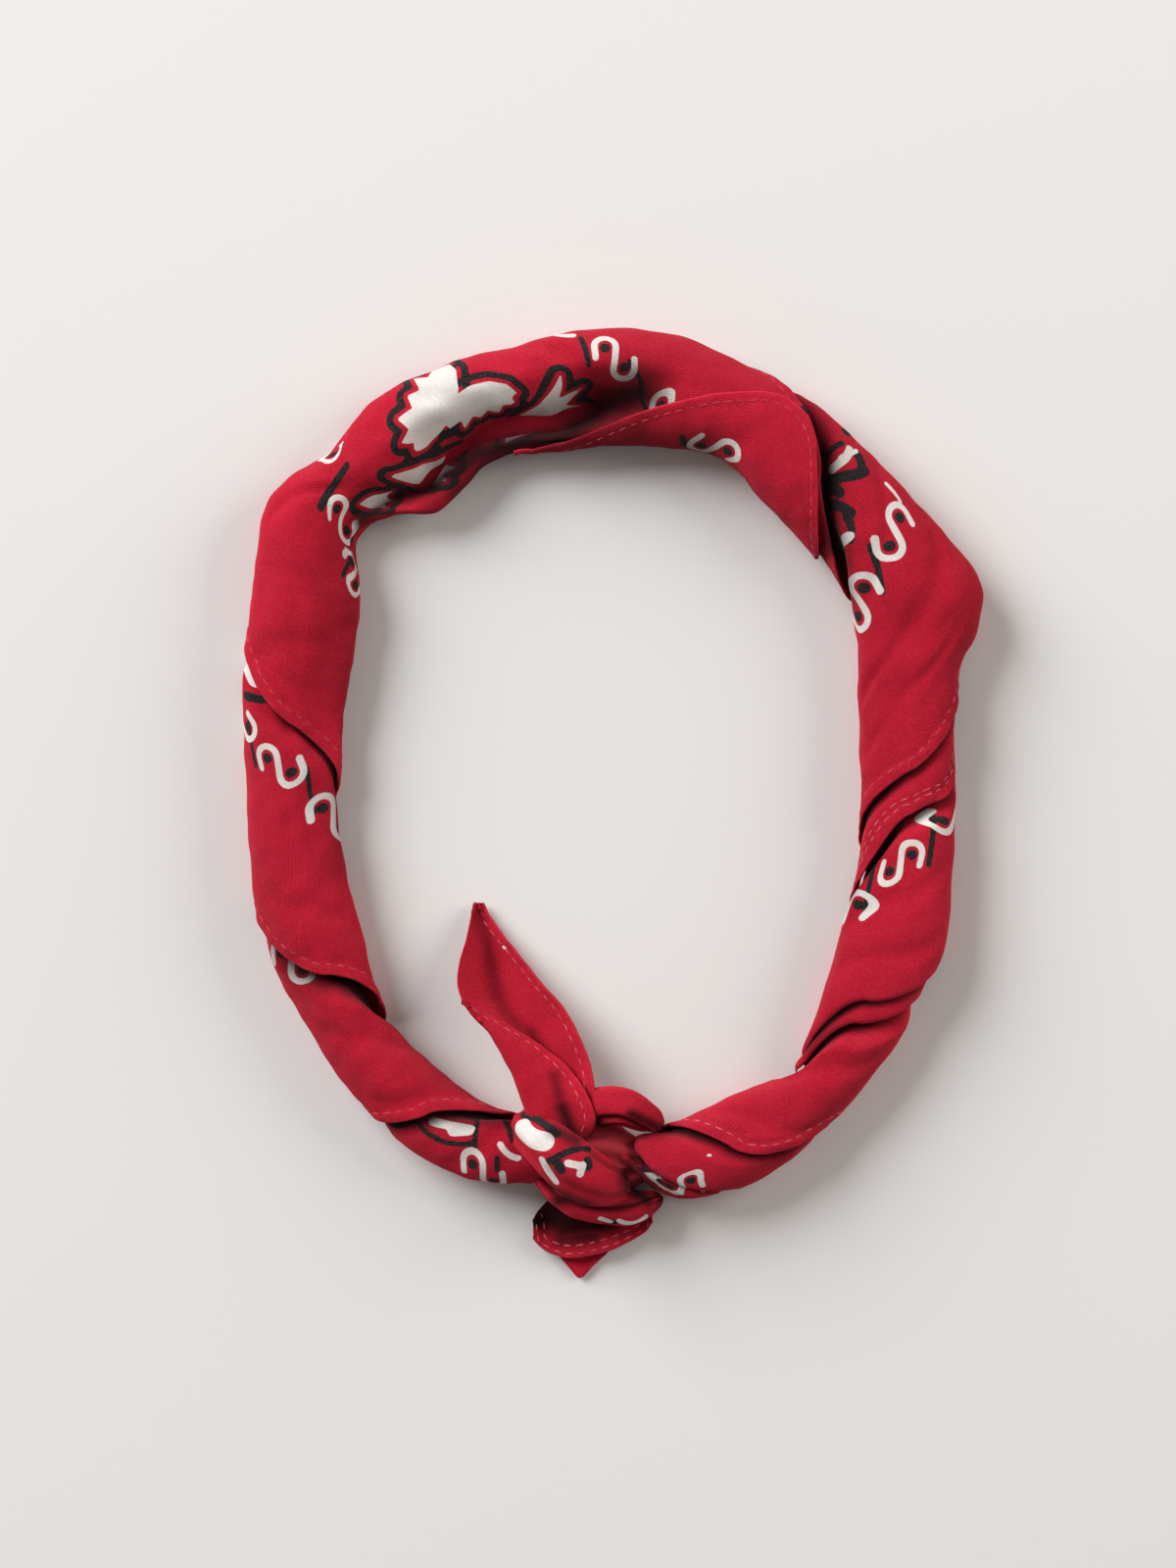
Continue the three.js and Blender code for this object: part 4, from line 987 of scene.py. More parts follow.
def place_piece(piece, node):
    """Puts a cloth piece under the body, in its CAD node's place, and hides that node."""
    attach(piece, BODY)
    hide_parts(node)


# Distances from an edge, in mm, at which a hem needs its rows of points, and the most of a
# stretch that they may take.
HEM_ROWS = np.array(
    [0, 0.12, 0.3, 0.5, 0.8, 1.3, 1.9, 2.4, 2.7, 3.0, 3.3, 3.7, 4.1, 4.6, 5.4]
)
HEM_SHARE = 0.55

# The least that one degree of turn may count as, in mm.
LEAST_PER_DEGREE = 0.25


def per_degree(edge, girth):
    """How many mm one degree of turn takes a point away from an edge, square to it."""
    at = edge_angle(edge, girth)
    along = band_point(at + 0.5, girth, 0) - band_point(at - 0.5, girth, 0)
    line = unit(np.gradient(band_point(at, girth, 0), axis=0))
    square = along - np.sum(along * line, axis=-1, keepdims=True) * line
    return np.maximum(np.linalg.norm(square, axis=-1), LEAST_PER_DEGREE)


def edge_rows(edge, girth, room):
    """Angles away from an edge for the rows of its hem, never past a share of the room."""
    steps = HEM_ROWS[:, None] / per_degree(edge, girth)[None, :]
    return steps * np.minimum(1, HEM_SHARE * room / steps[-1])


def middle_rows(room, settings):
    """How many rows of points fill what lies between a stretch's hems, in degrees."""
    return round(float(np.median(room)) * MM_PER_DEGREE / settings.spacing)


# A stretch starts to rise this many degrees past the edge over it. It rises less where it
# shows less than its rise and these spare degrees.
RISE_STARTS = 0.3
RISE_SPARE = 1.2
HIDDEN_SPARE = 0.2
FEWEST_COLUMNS = 8
FEWEST_ROWS = 6


def stretch_cloth(row, settings):
    """One stretch of the band, from its tucked start to its own edge."""
    count = max(FEWEST_COLUMNS, round(settings.around * (row["to"] - row["from"])))
    girth = np.linspace(row["from"], row["to"], count + 1)
    start, own = edge_angle(row["under"], girth), edge_angle(row["edge"], girth)
    away = np.sign(EDGES[row["edge"]][2] - EDGES[row["under"]][2])
    span = np.abs(own - start)
    total = span + row["tuck"]
    near = edge_rows(row["edge"], girth, total)
    rest = total - near[-1]
    shares = np.linspace(0, 1, max(FEWEST_ROWS, middle_rows(rest, settings)) + 1)[1:]
    from_own = np.concatenate([near, near[-1] + shares[:, None] * rest[None, :]])[::-1]
    angle = own - away * from_own
    beyond = span - from_own
    reach = np.minimum(1, (span - HIDDEN_SPARE) / (row["rise"] + RISE_SPARE))
    rise = np.maximum(row["rise"] * reach - RISE_STARTS, RISE_STARTS)
    risen = smooth((beyond - RISE_STARTS) / rise)
    depth = mix(row["sunk"], row["rest"], risen)
    points = band_point(angle, girth[None, :], depth, folds=settings.fold_depth)
    edge = from_own * per_degree(row["edge"], girth)
    past = beyond * per_degree(row["under"], girth)
    # Painted shade: the colour is darkened under the edge above and fades out over the last
    # column's reach.
    gloom = 1 - smooth(past / row["gloom"])
    return Cloth(points, edge, flip=away < 0, turned=row["hem"], gloom=gloom)


def crown_cloth(settings):
    """The stretch at the middle of the band, with a hem at both of its ends."""
    girth = np.linspace(SEAM, 1 - SEAM, settings.around + 1)
    right, left = edge_angle("crown_right", girth), edge_angle("crown_left", girth)
    total = left - right
    near_right = edge_rows("crown_right", girth, total)
    near_left = edge_rows("crown_left", girth, total)
    room = total - near_right[-1] - near_left[-1]
    shares = np.linspace(0, 1, middle_rows(room, settings) + 1)[1:-1]
    past = np.concatenate(
        [near_right, near_right[-1] + shares[:, None] * room, (total - near_left)[::-1]]
    )
    angle = right + past
    points = band_point(angle, girth[None, :], 0, folds=settings.fold_depth)
    to_right = past * per_degree("crown_right", girth)
    to_left = (total - past) * per_degree("crown_left", girth)
    return Cloth(points, np.minimum(to_right, to_left), turned=True, ends=2)


def crowded(near, middle, start=True, end=False):
    """Shares of a width with places crowded near its hemmed sides and even ones between."""
    near = np.array(near)
    parts = [middle]
    if start:
        parts.insert(0, near)
    if end:
        parts.append(1 - near[::-1])
    return np.concatenate(parts)


def flap_cloth(settings):
    """The loose corner, from its hem over the inner side of the crown."""
    rows = round(FLAP_LENGTH / settings.spacing)
    angle = np.linspace(FLAP["angle"][0], FLAP["angle"][-1], rows)
    hem = girth_across(read(FLAP, "angle", "across", angle))
    hem = np.clip(hem, FLAP_HIGHEST, FLAP_LOWEST - FLAP_NARROWEST)
    near = (0, 0.003, 0.008, 0.014, 0.022)
    shares = crowded(near, np.linspace(0.035, 1, FLAP_COLUMNS))
    girth = hem[:, None] + (FLAP_LOWEST - hem)[:, None] * shares[None, :]
    lifted = smooth((angle[0] - angle[:, None]) / FLAP_SETTLES)
    points = band_point(
        angle[:, None],
        girth,
        -mix(FLAP_TIGHT, LAYER + FLAP_LOOSE, lifted),
        folds=FLAP_FOLDS * settings.fold_depth,
        slump=FLAP_SLUMP,
        hollow=FLAP_HOLLOW,
    )
    return Cloth(points, run_length(points, 1), flip=True, turned=True)


def roll_cloth():
    """The hidden layers inside the band."""
    angle = np.linspace(*ROLL_ENDS, ROLL_ROWS)[:, None]
    girth = np.linspace(0, 1, ROLL_SIDES + 1)[:-1]
    depth = read(INNER_ROLL, "angle", "depth", angle)
    turn = np.radians(girth * 360 * ROLL_RIDGES + angle * ROLL_SLANT)
    points = band_point(angle, girth, depth + ROLL_RIDGE * np.sin(turn))
    top = band_point(angle, TOP_GIRTHS, 0)[..., 2]
    ceiling = top.min(axis=1, keepdims=True) - ROLL_COVER
    upper_half = (girth > 0.25) & (girth < 0.75)
    limit = np.where(upper_half, ceiling, ceiling / 2)
    points[..., 2] = np.minimum(points[..., 2], limit)
    return Cloth(points, around=True)


def bundle_cloth(rows, settings, creases, gloom):
    """A bundle of rolled cloth along a middle line, gathered and closed at its ends."""
    count, sides = settings.bundle_rows, settings.bundle_sides
    line = np.stack([rows["x"], rows["y"], rows["z"]], axis=-1)
    share = np.linspace(0, 1, count + 1)
    at_rows = dict(rows, share=np.linspace(0, 1, len(line)))
    centre = np.stack([read(at_rows, "share", axis, share) for axis in "xyz"], axis=-1)
    along = unit(np.gradient(centre, axis=0))
    side = unit(np.cross(along, [0, 0, 1.0]))
    normal = unit(np.cross(side, along))
    to_end = np.abs(2 * share - 1)
    rounding = np.sqrt(np.maximum(1 - to_end**END_SQUARENESS, 0))
    rounding = rounding * (1 - END_WIDTH) + END_WIDTH
    wide = (read(at_rows, "share", "half_width", share) * rounding)[:, None]
    high = (read(at_rows, "share", "half_height", share) * rounding)[:, None]
    turn = np.linspace(0, 2 * np.pi, sides + 1)[:-1][None, :]
    share = share[:, None]
    inside = smooth(share / END_SHARE) * smooth((1 - share) / END_SHARE)
    press = np.zeros((count + 1, sides))
    for at, depth, width, drift in creases:
        gap = (np.degrees(turn) - at - drift * (share - 0.5) + 180) % 360 - 180
        press += depth * inside * np.exp(-((gap / width) ** 2))
    gathered = to_end[:, None] ** 3
    phase = GATHER_DRIFT * np.sin(share * GATHER_WAVE)
    press += GATHER_DEPTH * gathered * (0.5 + 0.5 * np.sin(turn * GATHERS + phase))
    points = (
        centre[:, None, :]
        + side[:, None, :] * (np.cos(turn) * (wide - press))[..., None]
        + normal[:, None, :] * (np.sin(turn) * (high - press))[..., None]
    )
    points[..., 2] = np.maximum(points[..., 2], LOWEST)
    # Painted shade: the colour darkens where the bundle is pressed in and gathered at its ends.
    shade = PRESS_PAINTED_SHADE * press + END_PAINTED_SHADE * gathered**2
    return Cloth(points, around=True, gloom=np.maximum(gloom, np.clip(shade, 0, MOST_PAINTED_SHADE)))


def tail_height(y, share):
    """The height of the long tail's cupped sheet, by the share from right to left."""
    left, right = read(LONG_TAIL, "y", "left", y), read(LONG_TAIL, "y", "right", y)
    crease = (right - read(LONG_TAIL, "y", "crease", y)) / (right - left)
    low = read(LONG_TAIL, "y", "low", y)
    left_rise = read(LONG_TAIL, "y", "left_rise", y)
    right_rise = read(LONG_TAIL, "y", "right_rise", y)
    to_right = share < crease
    away = np.where(to_right, (crease - share) / crease, (share - crease) / (1 - crease))
    rise = TAIL_CUP * np.where(to_right, right_rise, left_rise)
    return low - TAIL_DROP + rise * np.abs(away) ** TAIL_CUP_POWER


def knot_painted_shade(y, strength, start, reach):
    """The shade painted on the long tail where it goes into the knot."""
    return strength * smooth((start - y) / reach)


def long_tail_cloth():
    """The long tail's cupped sheet, from its tip into the knot."""
    y = np.linspace(LONG_TAIL["y"][0], LONG_TAIL["y"][-1], TAIL_ROWS)[:, None]
    near = (0, 0.004, 0.01, 0.02, 0.035)
    share = crowded(near, np.linspace(0.06, 0.94, TAIL_COLUMNS), end=True)
    left, right = read(LONG_TAIL, "y", "left", y), read(LONG_TAIL, "y", "right", y)
    z = tail_height(y, share) + WALL
    points = np.stack(np.broadcast_arrays(mix(right, left, share), y, z), axis=-1)
    over = run_length(points, 1)
    edge = np.minimum(over, run_length(points, 0) + TIP_INSET)
    # Painted shade along the crease and where the tail goes into the knot.
    from_crease = points[..., 0] - read(LONG_TAIL, "y", "crease", y) + CREASE_PAINTED_SHADE_LEFT
    painted_crease_shade = CREASE_PAINTED_SHADE * np.exp(-((from_crease / CREASE_PAINTED_SHADE_WIDTH) ** 2))
    gloom = np.maximum(painted_crease_shade, knot_painted_shade(y, *TAIL_PAINTED_SHADE_IN_KNOT))
    return Cloth(points, edge, flip=True, turned=True, ends=2, sewn=1, gloom=gloom)


def long_tail_fold_cloth():
    """The side of the long tail that is turned over, from its crease to its hem."""
    y = np.linspace(LONG_TAIL_FOLD["y"][0], LONG_TAIL_FOLD["y"][-1], TAIL_FOLD_ROWS)[:, None]
    near = (0, 0.006, 0.015, 0.03, 0.05)
    share = crowded(near, np.linspace(0, 0.92, TAIL_COLUMNS), start=False, end=True)
    left, right = read(LONG_TAIL, "y", "left", y), read(LONG_TAIL, "y", "right", y)
    reach = read(LONG_TAIL_FOLD, "y", "reach", y)
    raised = read(LONG_TAIL_FOLD, "y", "lift", y)
    x = mix(left - FOLD_PAST, reach, share)
    below = tail_height(y, np.clip((right - x) / (right - left), 0, 1))
    hump = raised * np.sin(np.pi * np.clip(share * FOLD_ARCH, 0, 1)) * FOLD_LIFT
    turned = FOLD_DIP * np.maximum(0, 1 - share / FOLD_DIP_WIDTH) ** 2
    z = below + LAYER + hump + WALL - turned
    points = np.stack(np.broadcast_arrays(x, y, z), axis=-1)
    over = run_length(points, 1)
    # Painted shade on the fold where it goes into the knot, away from its crease.
    across = smooth((share - FOLD_PAINTED_SHADE_START) / FOLD_PAINTED_SHADE_WIDTH)
    gloom = knot_painted_shade(y, *FOLD_PAINTED_SHADE_IN_KNOT) * across
    return Cloth(points, over[:, -1:] - over, turned=True, gloom=gloom)


def short_tail_cloth(rows, cup):
    """One ply of the short tail: rows run along x, columns from the knot to the hem."""
    x = np.linspace(rows["x"][0], rows["x"][-1], SHORT_TAIL_ROWS)[:, None]
    near = (0, 0.008, 0.02, 0.04, 0.06)
    share = crowded(near, np.linspace(0, 0.9, SHORT_TAIL_COLUMNS), start=False, end=True)
    top, bottom = read(rows, "x", "top", x), read(rows, "x", "bottom", x)
    sloping = read(rows, "x", "z", x) * (1 - SHORT_TAIL_SLOPE * share)
    z = sloping + WALL - cup * np.sin(np.pi * share) ** 2
    points = np.stack(np.broadcast_arrays(x, mix(top, bottom, share), z), axis=-1)
    over = run_length(points, 1)
    along = run_length(points, 0)
    ends = np.minimum(along, along[-1:] - along)
    edge = np.minimum(over[:, -1:] - over, ends + TIP_INSET)
    # Painted shade on the side next to the knot.
    gloom = 1 - smooth((share - SHORT_TAIL_PAINTED_SHADE_START) / SHORT_TAIL_PAINTED_SHADE_WIDTH)
    return Cloth(points, edge, flip=True, turned=True, gloom=gloom)


# How far past a seam the cloth is read, and the step along it that gives a stitch its
# direction, in mm. A hem has stitches where it has so many places, and where the cloth's
# normal isn't turned further down than this.
PAST_SEAM = 1.5
AHEAD = 0.5
FEWEST_PLACES = 4
LEAST_UP = -0.2


def stitch_rows(cloth, inset, axis, settings):
    """Places, directions and normals of single stitches, a set distance inside each hem."""
    grids = (cloth.points, cloth.normals(), cloth.edge)
    if axis == 1:
        grids = [np.swapaxes(grid, 0, 1) for grid in grids]
    parts = list(zip(*(np.array_split(grid, cloth.ends) for grid in grids)))[: cloth.sewn]
    return [stitch for part in parts for stitch in stitch_row(*part, inset, settings)]


def stitch_row(points, normal, edge, inset, settings):
    """The stitches of one hem, from the columns of a grid that runs away from it."""
    line, up = [], []
    for k in range(points.shape[1]):
        order = np.argsort(edge[:, k])
        reached = edge[order, k]
        if reached[0] > inset or reached[-1] < inset:
            continue
        near = order[: np.searchsorted(reached, inset + PAST_SEAM)]
        distances = edge[near, k]
        line.append([np.interp(inset, distances, points[near, k, a]) for a in range(3)])
        up.append([np.interp(inset, distances, normal[near, k, a]) for a in range(3)])
    if len(line) < FEWEST_PLACES:
        return []
    line, up = np.array(line), unit(np.array(up))
    run = run_length(line[None], 1)[0]
    places = np.arange(settings.stitch_pitch / 2, run[-1], settings.stitch_pitch)
    at = np.stack([np.interp(places, run, line[:, a]) for a in range(3)], axis=-1)
    rise = unit(np.stack([np.interp(places, run, up[:, a]) for a in range(3)], axis=-1))
    ahead = np.stack([np.interp(places + AHEAD, run, line[:, a]) for a in range(3)], axis=-1)
    return [(p, unit(q - p), n) for p, q, n in zip(at, ahead, rise) if n[2] > LEAST_UP]


class Nodes:
    """Short ways to add and join shader nodes."""

    def __init__(self, tree):
        self.tree = tree

    def add(self, kind, **settings):
        """A new node of a kind, with its own settings."""
        node = self.tree.nodes.new(kind)
        for key, value in settings.items():
            setattr(node, key, value)
        return node

    def join(self, source, target):
        """Links one socket to another."""
        self.tree.links.new(source, target)

    def maths(self, operation, *values):
        """The result of a sum on numbers or sockets."""
        node = self.add("ShaderNodeMath", operation=operation)
        for socket, value in zip(node.inputs, values):
            self.set(socket, value)
        return node.outputs[0]

    def set(self, socket, value):
        """Gives a socket a constant, or links another socket to it."""
        if isinstance(value, bpy.types.NodeSocket):
            self.join(value, socket)
        else:
            socket.default_value = value

    def attribute(self, name):
        """One of the numbers that the mesh's points carry."""
        return self.add("ShaderNodeAttribute", attribute_name=name).outputs["Fac"]

    def ramp(self, value, low, high, to_low, to_high):
        """Takes a value smoothly from one range to another."""
        node = self.add("ShaderNodeMapRange", interpolation_type="SMOOTHSTEP")
        names = ("Value", "From Min", "From Max", "To Min", "To Max")
        for name, number in zip(names, (value, low, high, to_low, to_high)):
            self.set(node.inputs[name], number)
        return node.outputs["Result"]

    def blend(self, share, a, b):
        """A colour that lies a share of the way from a to b."""
        node = self.add("ShaderNodeMix", data_type="RGBA")
        self.set(node.inputs["Factor"], share)
        for name, value in (("A", a), ("B", b)):
            self.set(next(s for s in node.inputs if s.name == name and s.type == "RGBA"), value)
        return next(s for s in node.outputs if s.type == "RGBA")

    def noise(self, scale, detail, vector):
        """Cloudy noise, with scale in clouds a metre."""
        node = self.add("ShaderNodeTexNoise")
        node.inputs["Scale"].default_value = scale
        node.inputs["Detail"].default_value = detail
        self.join(vector, node.inputs["Vector"])
        return node.outputs["Fac"]

    def bump(self, height, strength, distance, below=None):
        """A relief of a strength and a depth in metres, laid over the one below it."""
        node = self.add("ShaderNodeBump")
        node.inputs["Strength"].default_value = strength
        node.inputs["Distance"].default_value = distance
        self.join(height, node.inputs["Height"])
        if below is not None:
            self.join(below, node.inputs["Normal"])
        return node.outputs["Normal"]


# The print's two inks, each between two colours, and the near black that painted shade
# takes the colour to deep in the folds.
WHITE_INK = ((0.80, 0.76, 0.72, 1), (0.90, 0.87, 0.84, 1))
BLACK_INK = ((0.010, 0.012, 0.013, 1), (0.036, 0.040, 0.042, 1))
PAINTED_SHADE_COLOUR = (0.010, 0.002, 0.003, 1)
WHITE_COVER = 0.97
BLACK_COVER = 0.99

# Sizes of the noise in the cloth, in clouds a metre: uneven yarn, fibres, patches and rumples.
YARN = 1300
FIBRES = 1500
PATCHES = 28
RUMPLES = 170

# Where the cloth is lighter near an edge, partly worn and partly a painted highlight:
# within so many mm of an edge, and by so much.
WEAR_AND_HIGHLIGHT_REACH = 1.1
WEAR_AND_HIGHLIGHT_SHARE = 0.3

# How far the yarn makes the print's edge wander, in mm, and the depth of the weave and of the
# rumples, in mm.
PRINT_WANDERS = 0.12
WEAVE_DEPTH = 0.26
RUMPLE_DEPTH = 0.8
RUMPLE_STRENGTH = 0.1


def cotton(name, settings, deep, bright, faded_and_highlight):
    """Printed plain-weave cotton. The threads cross at a slant to the band, because the
    square is rolled on its diagonal."""
    material = bpy.data.materials.new(name)
    material.use_nodes = True
    tree = Nodes(material.node_tree)
    shader = material.node_tree.nodes["Principled BSDF"]
    shader.inputs["Roughness"].default_value = settings.roughness
    shader.inputs["Specular IOR Level"].default_value = 0.08
    shader.inputs["Sheen Weight"].default_value = settings.sheen
    shader.inputs["Sheen Roughness"].default_value = 0.45
    shader.inputs["Sheen Tint"].default_value = (1.0, 0.62, 0.66, 1.0)

    place = tree.add("ShaderNodeTexCoord").outputs["Object"]
    flat = tree.add("ShaderNodeUVMap", uv_map="cloth").outputs["UV"]
    split = tree.add("ShaderNodeSeparateXYZ")
    tree.join(flat, split.inputs["Vector"])
    across, along = split.outputs["X"], split.outputs["Y"]
    pitch = 2 * np.pi / (settings.thread_pitch * MM)
    warp = tree.maths("MULTIPLY", tree.maths("ADD", across, along), pitch)
    weft = tree.maths("MULTIPLY", tree.maths("SUBTRACT", across, along), pitch)
    threads = tree.maths("MULTIPLY", tree.maths("SINE", warp), tree.maths("SINE", weft))
    yarn = tree.noise(YARN, 2, flat)

    patches = tree.noise(PATCHES, 3, place)
    fibres = tree.noise(FIBRES, 2, place)
    red = tree.blend(tree.ramp(patches, 0.3, 0.7, 0, 1), deep, bright)
    # Edges are lightened toward the faded red: partly wear, partly a painted highlight on the
    # rolled edges.
    worn_and_lit_edge = tree.ramp(tree.attribute("edge_near"), 0, WEAR_AND_HIGHLIGHT_REACH, 1, 0)
    red = tree.blend(tree.maths("MULTIPLY", worn_and_lit_edge, WEAR_AND_HIGHLIGHT_SHARE), red, faded_and_highlight)
    grain = tree.maths("MULTIPLY_ADD", threads, 0.2, tree.maths("MULTIPLY", fibres, 0.5))
    red = tree.blend(tree.ramp(grain, 0.12, 0.45, 0.0, 0.5), red, faded_and_highlight)

    wander = tree.maths("MULTIPLY", tree.maths("SUBTRACT", yarn, 0.5), PRINT_WANDERS)
    soft = settings.print_softness
    white_gap = tree.maths("ADD", tree.attribute("print_white"), wander)
    black_gap = tree.maths("ADD", tree.attribute("print_dark"), wander)
    white_share = tree.maths("MULTIPLY", tree.ramp(white_gap, -soft, soft, 1, 0), WHITE_COVER)
    black_share = tree.maths("MULTIPLY", tree.ramp(black_gap, -soft, soft, 1, 0), BLACK_COVER)
    white = tree.blend(tree.ramp(yarn, 0.3, 0.8, 0, 1), *WHITE_INK)
    black = tree.blend(tree.ramp(yarn, 0.35, 0.75, 0, 1), *BLACK_INK)
    colour = tree.blend(black_share, red, black)
    colour = tree.blend(white_share, colour, white)
    # Painted shade: the colour is taken toward near black by each point's painted shade value.
    painted_shade_share = tree.maths("MULTIPLY", tree.attribute("gloom"), settings.painted_shade_strength)
    tree.join(tree.blend(painted_shade_share, colour, PAINTED_SHADE_COLOUR), shader.inputs["Base Color"])

    height = tree.maths("MULTIPLY_ADD", threads, 0.5, tree.maths("MULTIPLY", yarn, 0.9))
    weave = tree.bump(height, settings.weave_strength, WEAVE_DEPTH * MM)
    rumples = tree.noise(RUMPLES, 4, place)
    relief = tree.bump(rumples, RUMPLE_STRENGTH, RUMPLE_DEPTH * MM, weave)
    tree.join(relief, shader.inputs["Normal"])


# The thread's shades and its twist, in clouds a metre, and the twist's depth in mm.
THREAD_SHADES = 700
TWIST = 2600
TWIST_DEPTH = 0.1


def thread_material(name, strong, pale):
    """Twisted sewing thread between two colours."""
    material = bpy.data.materials.new(name)
    material.use_nodes = True
    tree = Nodes(material.node_tree)
    shader = material.node_tree.nodes["Principled BSDF"]
    shader.inputs["Roughness"].default_value = 0.65
    shader.inputs["Sheen Weight"].default_value = 0.3
    place = tree.add("ShaderNodeTexCoord").outputs["Object"]
    # Patches of noise blend the two colours; on the sewing thread the paler one is a painted
    # highlight.
    share = tree.ramp(tree.noise(THREAD_SHADES, 2, place), 0.35, 0.65, 0, 1)
    tree.join(tree.blend(share, (*strong, 1), (*pale, 1)), shader.inputs["Base Color"])
    twist = tree.bump(tree.noise(TWIST, 1, place), 0.5, TWIST_DEPTH * MM)
    tree.join(twist, shader.inputs["Normal"])


def materials(scene):
    """The print cloth and its copy in painted shade. They and the threads are made once."""
    known = bpy.data.materials
    if "cotton_print" not in known:
        look = scene.bandana_cloth
        inside, deep, bright, faded_and_highlight = (
            (*colour, 1)
            for colour in (look.inside_red_in_painted_shade, look.deep_red, look.bright_red, look.faded_and_highlight_red)
        )
        cotton("cotton_print", look, deep, bright, faded_and_highlight)
        # The hidden layers' copy of the cotton: each colour is taken one step darker, which is
        # painted shade.
        cotton("cotton_inside", look, inside, deep, bright)
        seams = scene.bandana_stitches
        thread_material("sewing_thread", seams.thread_strong, seams.thread_highlight)
        thread_material("hidden_thread", look.deep_red, seams.thread_strong)
    return known["cotton_print"], known["cotton_inside"]


# The stitches' ball: how many sides and rings it has; and the seed of their unevenness.
BALL_SIDES = 8
BALL_RINGS = 6
STITCH_SEED = 7

# What each stitch's place carries, and the axis of the ball that is turned to it.
STITCH_AXES = (("along", "X"), ("up", "Z"))


def stitch_group():
    """Lays one rounded stitch on each point, along it and standing off the cloth."""
    group = bpy.data.node_groups.new("Hem stitches", "GeometryNodeTree")
    inputs = {
        "Places": "NodeSocketGeometry",
        "Length": "NodeSocketFloat",
        "Width": "NodeSocketFloat",
        "Height": "NodeSocketFloat",
        "Unevenness": "NodeSocketFloat",
        "Thread": "NodeSocketMaterial",
    }
    for name, kind in inputs.items():
        group.interface.new_socket(name, in_out="INPUT", socket_type=kind)
    group.interface.new_socket("Stitches", in_out="OUTPUT", socket_type="NodeSocketGeometry")
    add = group.nodes.new
    join = group.links.new
    source = add("NodeGroupInput")
    result = add("NodeGroupOutput")
    ball = add("GeometryNodeMeshUVSphere")
    ball.inputs["Segments"].default_value = BALL_SIDES
    ball.inputs["Rings"].default_value = BALL_RINGS
    ball.inputs["Radius"].default_value = 0.5
    size = add("ShaderNodeCombineXYZ")
    for axis, name in zip("XYZ", ("Length", "Width", "Height")):
        join(source.outputs[name], size.inputs[axis])
    vary = add("FunctionNodeRandomValue")
    vary.data_type = "FLOAT"
    low = add("ShaderNodeMath")
    low.operation = "SUBTRACT"
    low.inputs[0].default_value = 1
    join(source.outputs["Unevenness"], low.inputs[1])
    # The node's number sockets are the least, the most, and a chance that isn't used here.
    smallest, largest, _ = (socket for socket in vary.inputs if socket.type == "VALUE")
    join(low.outputs[0], smallest)
    largest.default_value = 1
    vary.inputs["Seed"].default_value = STITCH_SEED
    scaled = add("ShaderNodeVectorMath")
    scaled.operation = "SCALE"
    join(size.outputs[0], scaled.inputs[0])
    varied = next(socket for socket in vary.outputs if socket.type == "VALUE")
    join(varied, scaled.inputs["Scale"])
    turns = []
    for name, axis in STITCH_AXES:
        known = add("GeometryNodeInputNamedAttribute")
        known.data_type = "FLOAT_VECTOR"
        known.inputs["Name"].default_value = name
        turn = add("FunctionNodeAlignRotationToVector")
        turn.axis = axis
        join(known.outputs["Attribute"], turn.inputs["Vector"])
        turns.append(turn)
    turns[1].pivot_axis = "X"
    join(turns[0].outputs["Rotation"], turns[1].inputs["Rotation"])
    copies = add("GeometryNodeInstanceOnPoints")
    join(source.outputs["Places"], copies.inputs["Points"])
    join(ball.outputs["Mesh"], copies.inputs["Instance"])
    join(turns[1].outputs["Rotation"], copies.inputs["Rotation"])
    join(scaled.outputs[0], copies.inputs["Scale"])
    real = add("GeometryNodeRealizeInstances")
    finish = add("GeometryNodeSetMaterial")
    join(copies.outputs[0], real.inputs[0])
    join(real.outputs[0], finish.inputs["Geometry"])
    join(source.outputs["Thread"], finish.inputs["Material"])
    join(finish.outputs[0], result.inputs[0])
    return group


def sew(name, stitches, settings, thread):
    """One plain mesh of all the stitches at the given places."""
    mesh = bpy.data.meshes.new(name)
    mesh.from_pydata([tuple(place * MM) for place, _, _ in stitches], [], [])
    for k, (key, _) in enumerate(STITCH_AXES, start=1):
        vectors = np.array([stitch[k] for stitch in stitches], np.float32)
        attribute = mesh.attributes.new(key, "FLOAT_VECTOR", "POINT")
        attribute.data.foreach_set("vector", vectors.ravel())
    places = new_object(name, mesh)
    group = bpy.data.node_groups.get("Hem stitches") or stitch_group()
    modifier = places.modifiers.new("Stitches", "NODES")
    modifier.node_group = group
    values = {
        "Length": settings.stitch_length * MM,
        "Width": settings.stitch_width * MM,
        "Height": settings.stitch_height * MM,
        "Unevenness": settings.unevenness,
        "Thread": thread,
    }
    for socket in group.interface.items_tree:
        if socket.in_out == "INPUT" and socket.name in values:
            modifier[socket.identifier] = values[socket.name]
    places.update_tag()
    graph = bpy.context.evaluated_depsgraph_get()
    graph.update()
    sewn = bpy.data.meshes.new_from_object(places.evaluated_get(graph))
    places.modifiers.clear()
    places.data = sewn
    sewn.polygons.foreach_set("use_smooth", np.ones(len(sewn.polygons), bool))
    if not len(sewn.polygons):
        raise RuntimeError(f"{name} has no stitches")
    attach(places, BODY)
    return places


# The hems whose stitches stand out, being sewn with the paler thread, which also carries
# painted highlights.
PALE_SEAMS = ("right_strip", "right_low", "long_tail", "long_tail_fold", "short_tail")

# The hems that show two rows of stitches, with their distances from the edge in mm.
DOUBLE_ROWS = {"right_strip": (2.9, 4.3), "short_tail": (1.4, 3.6)}

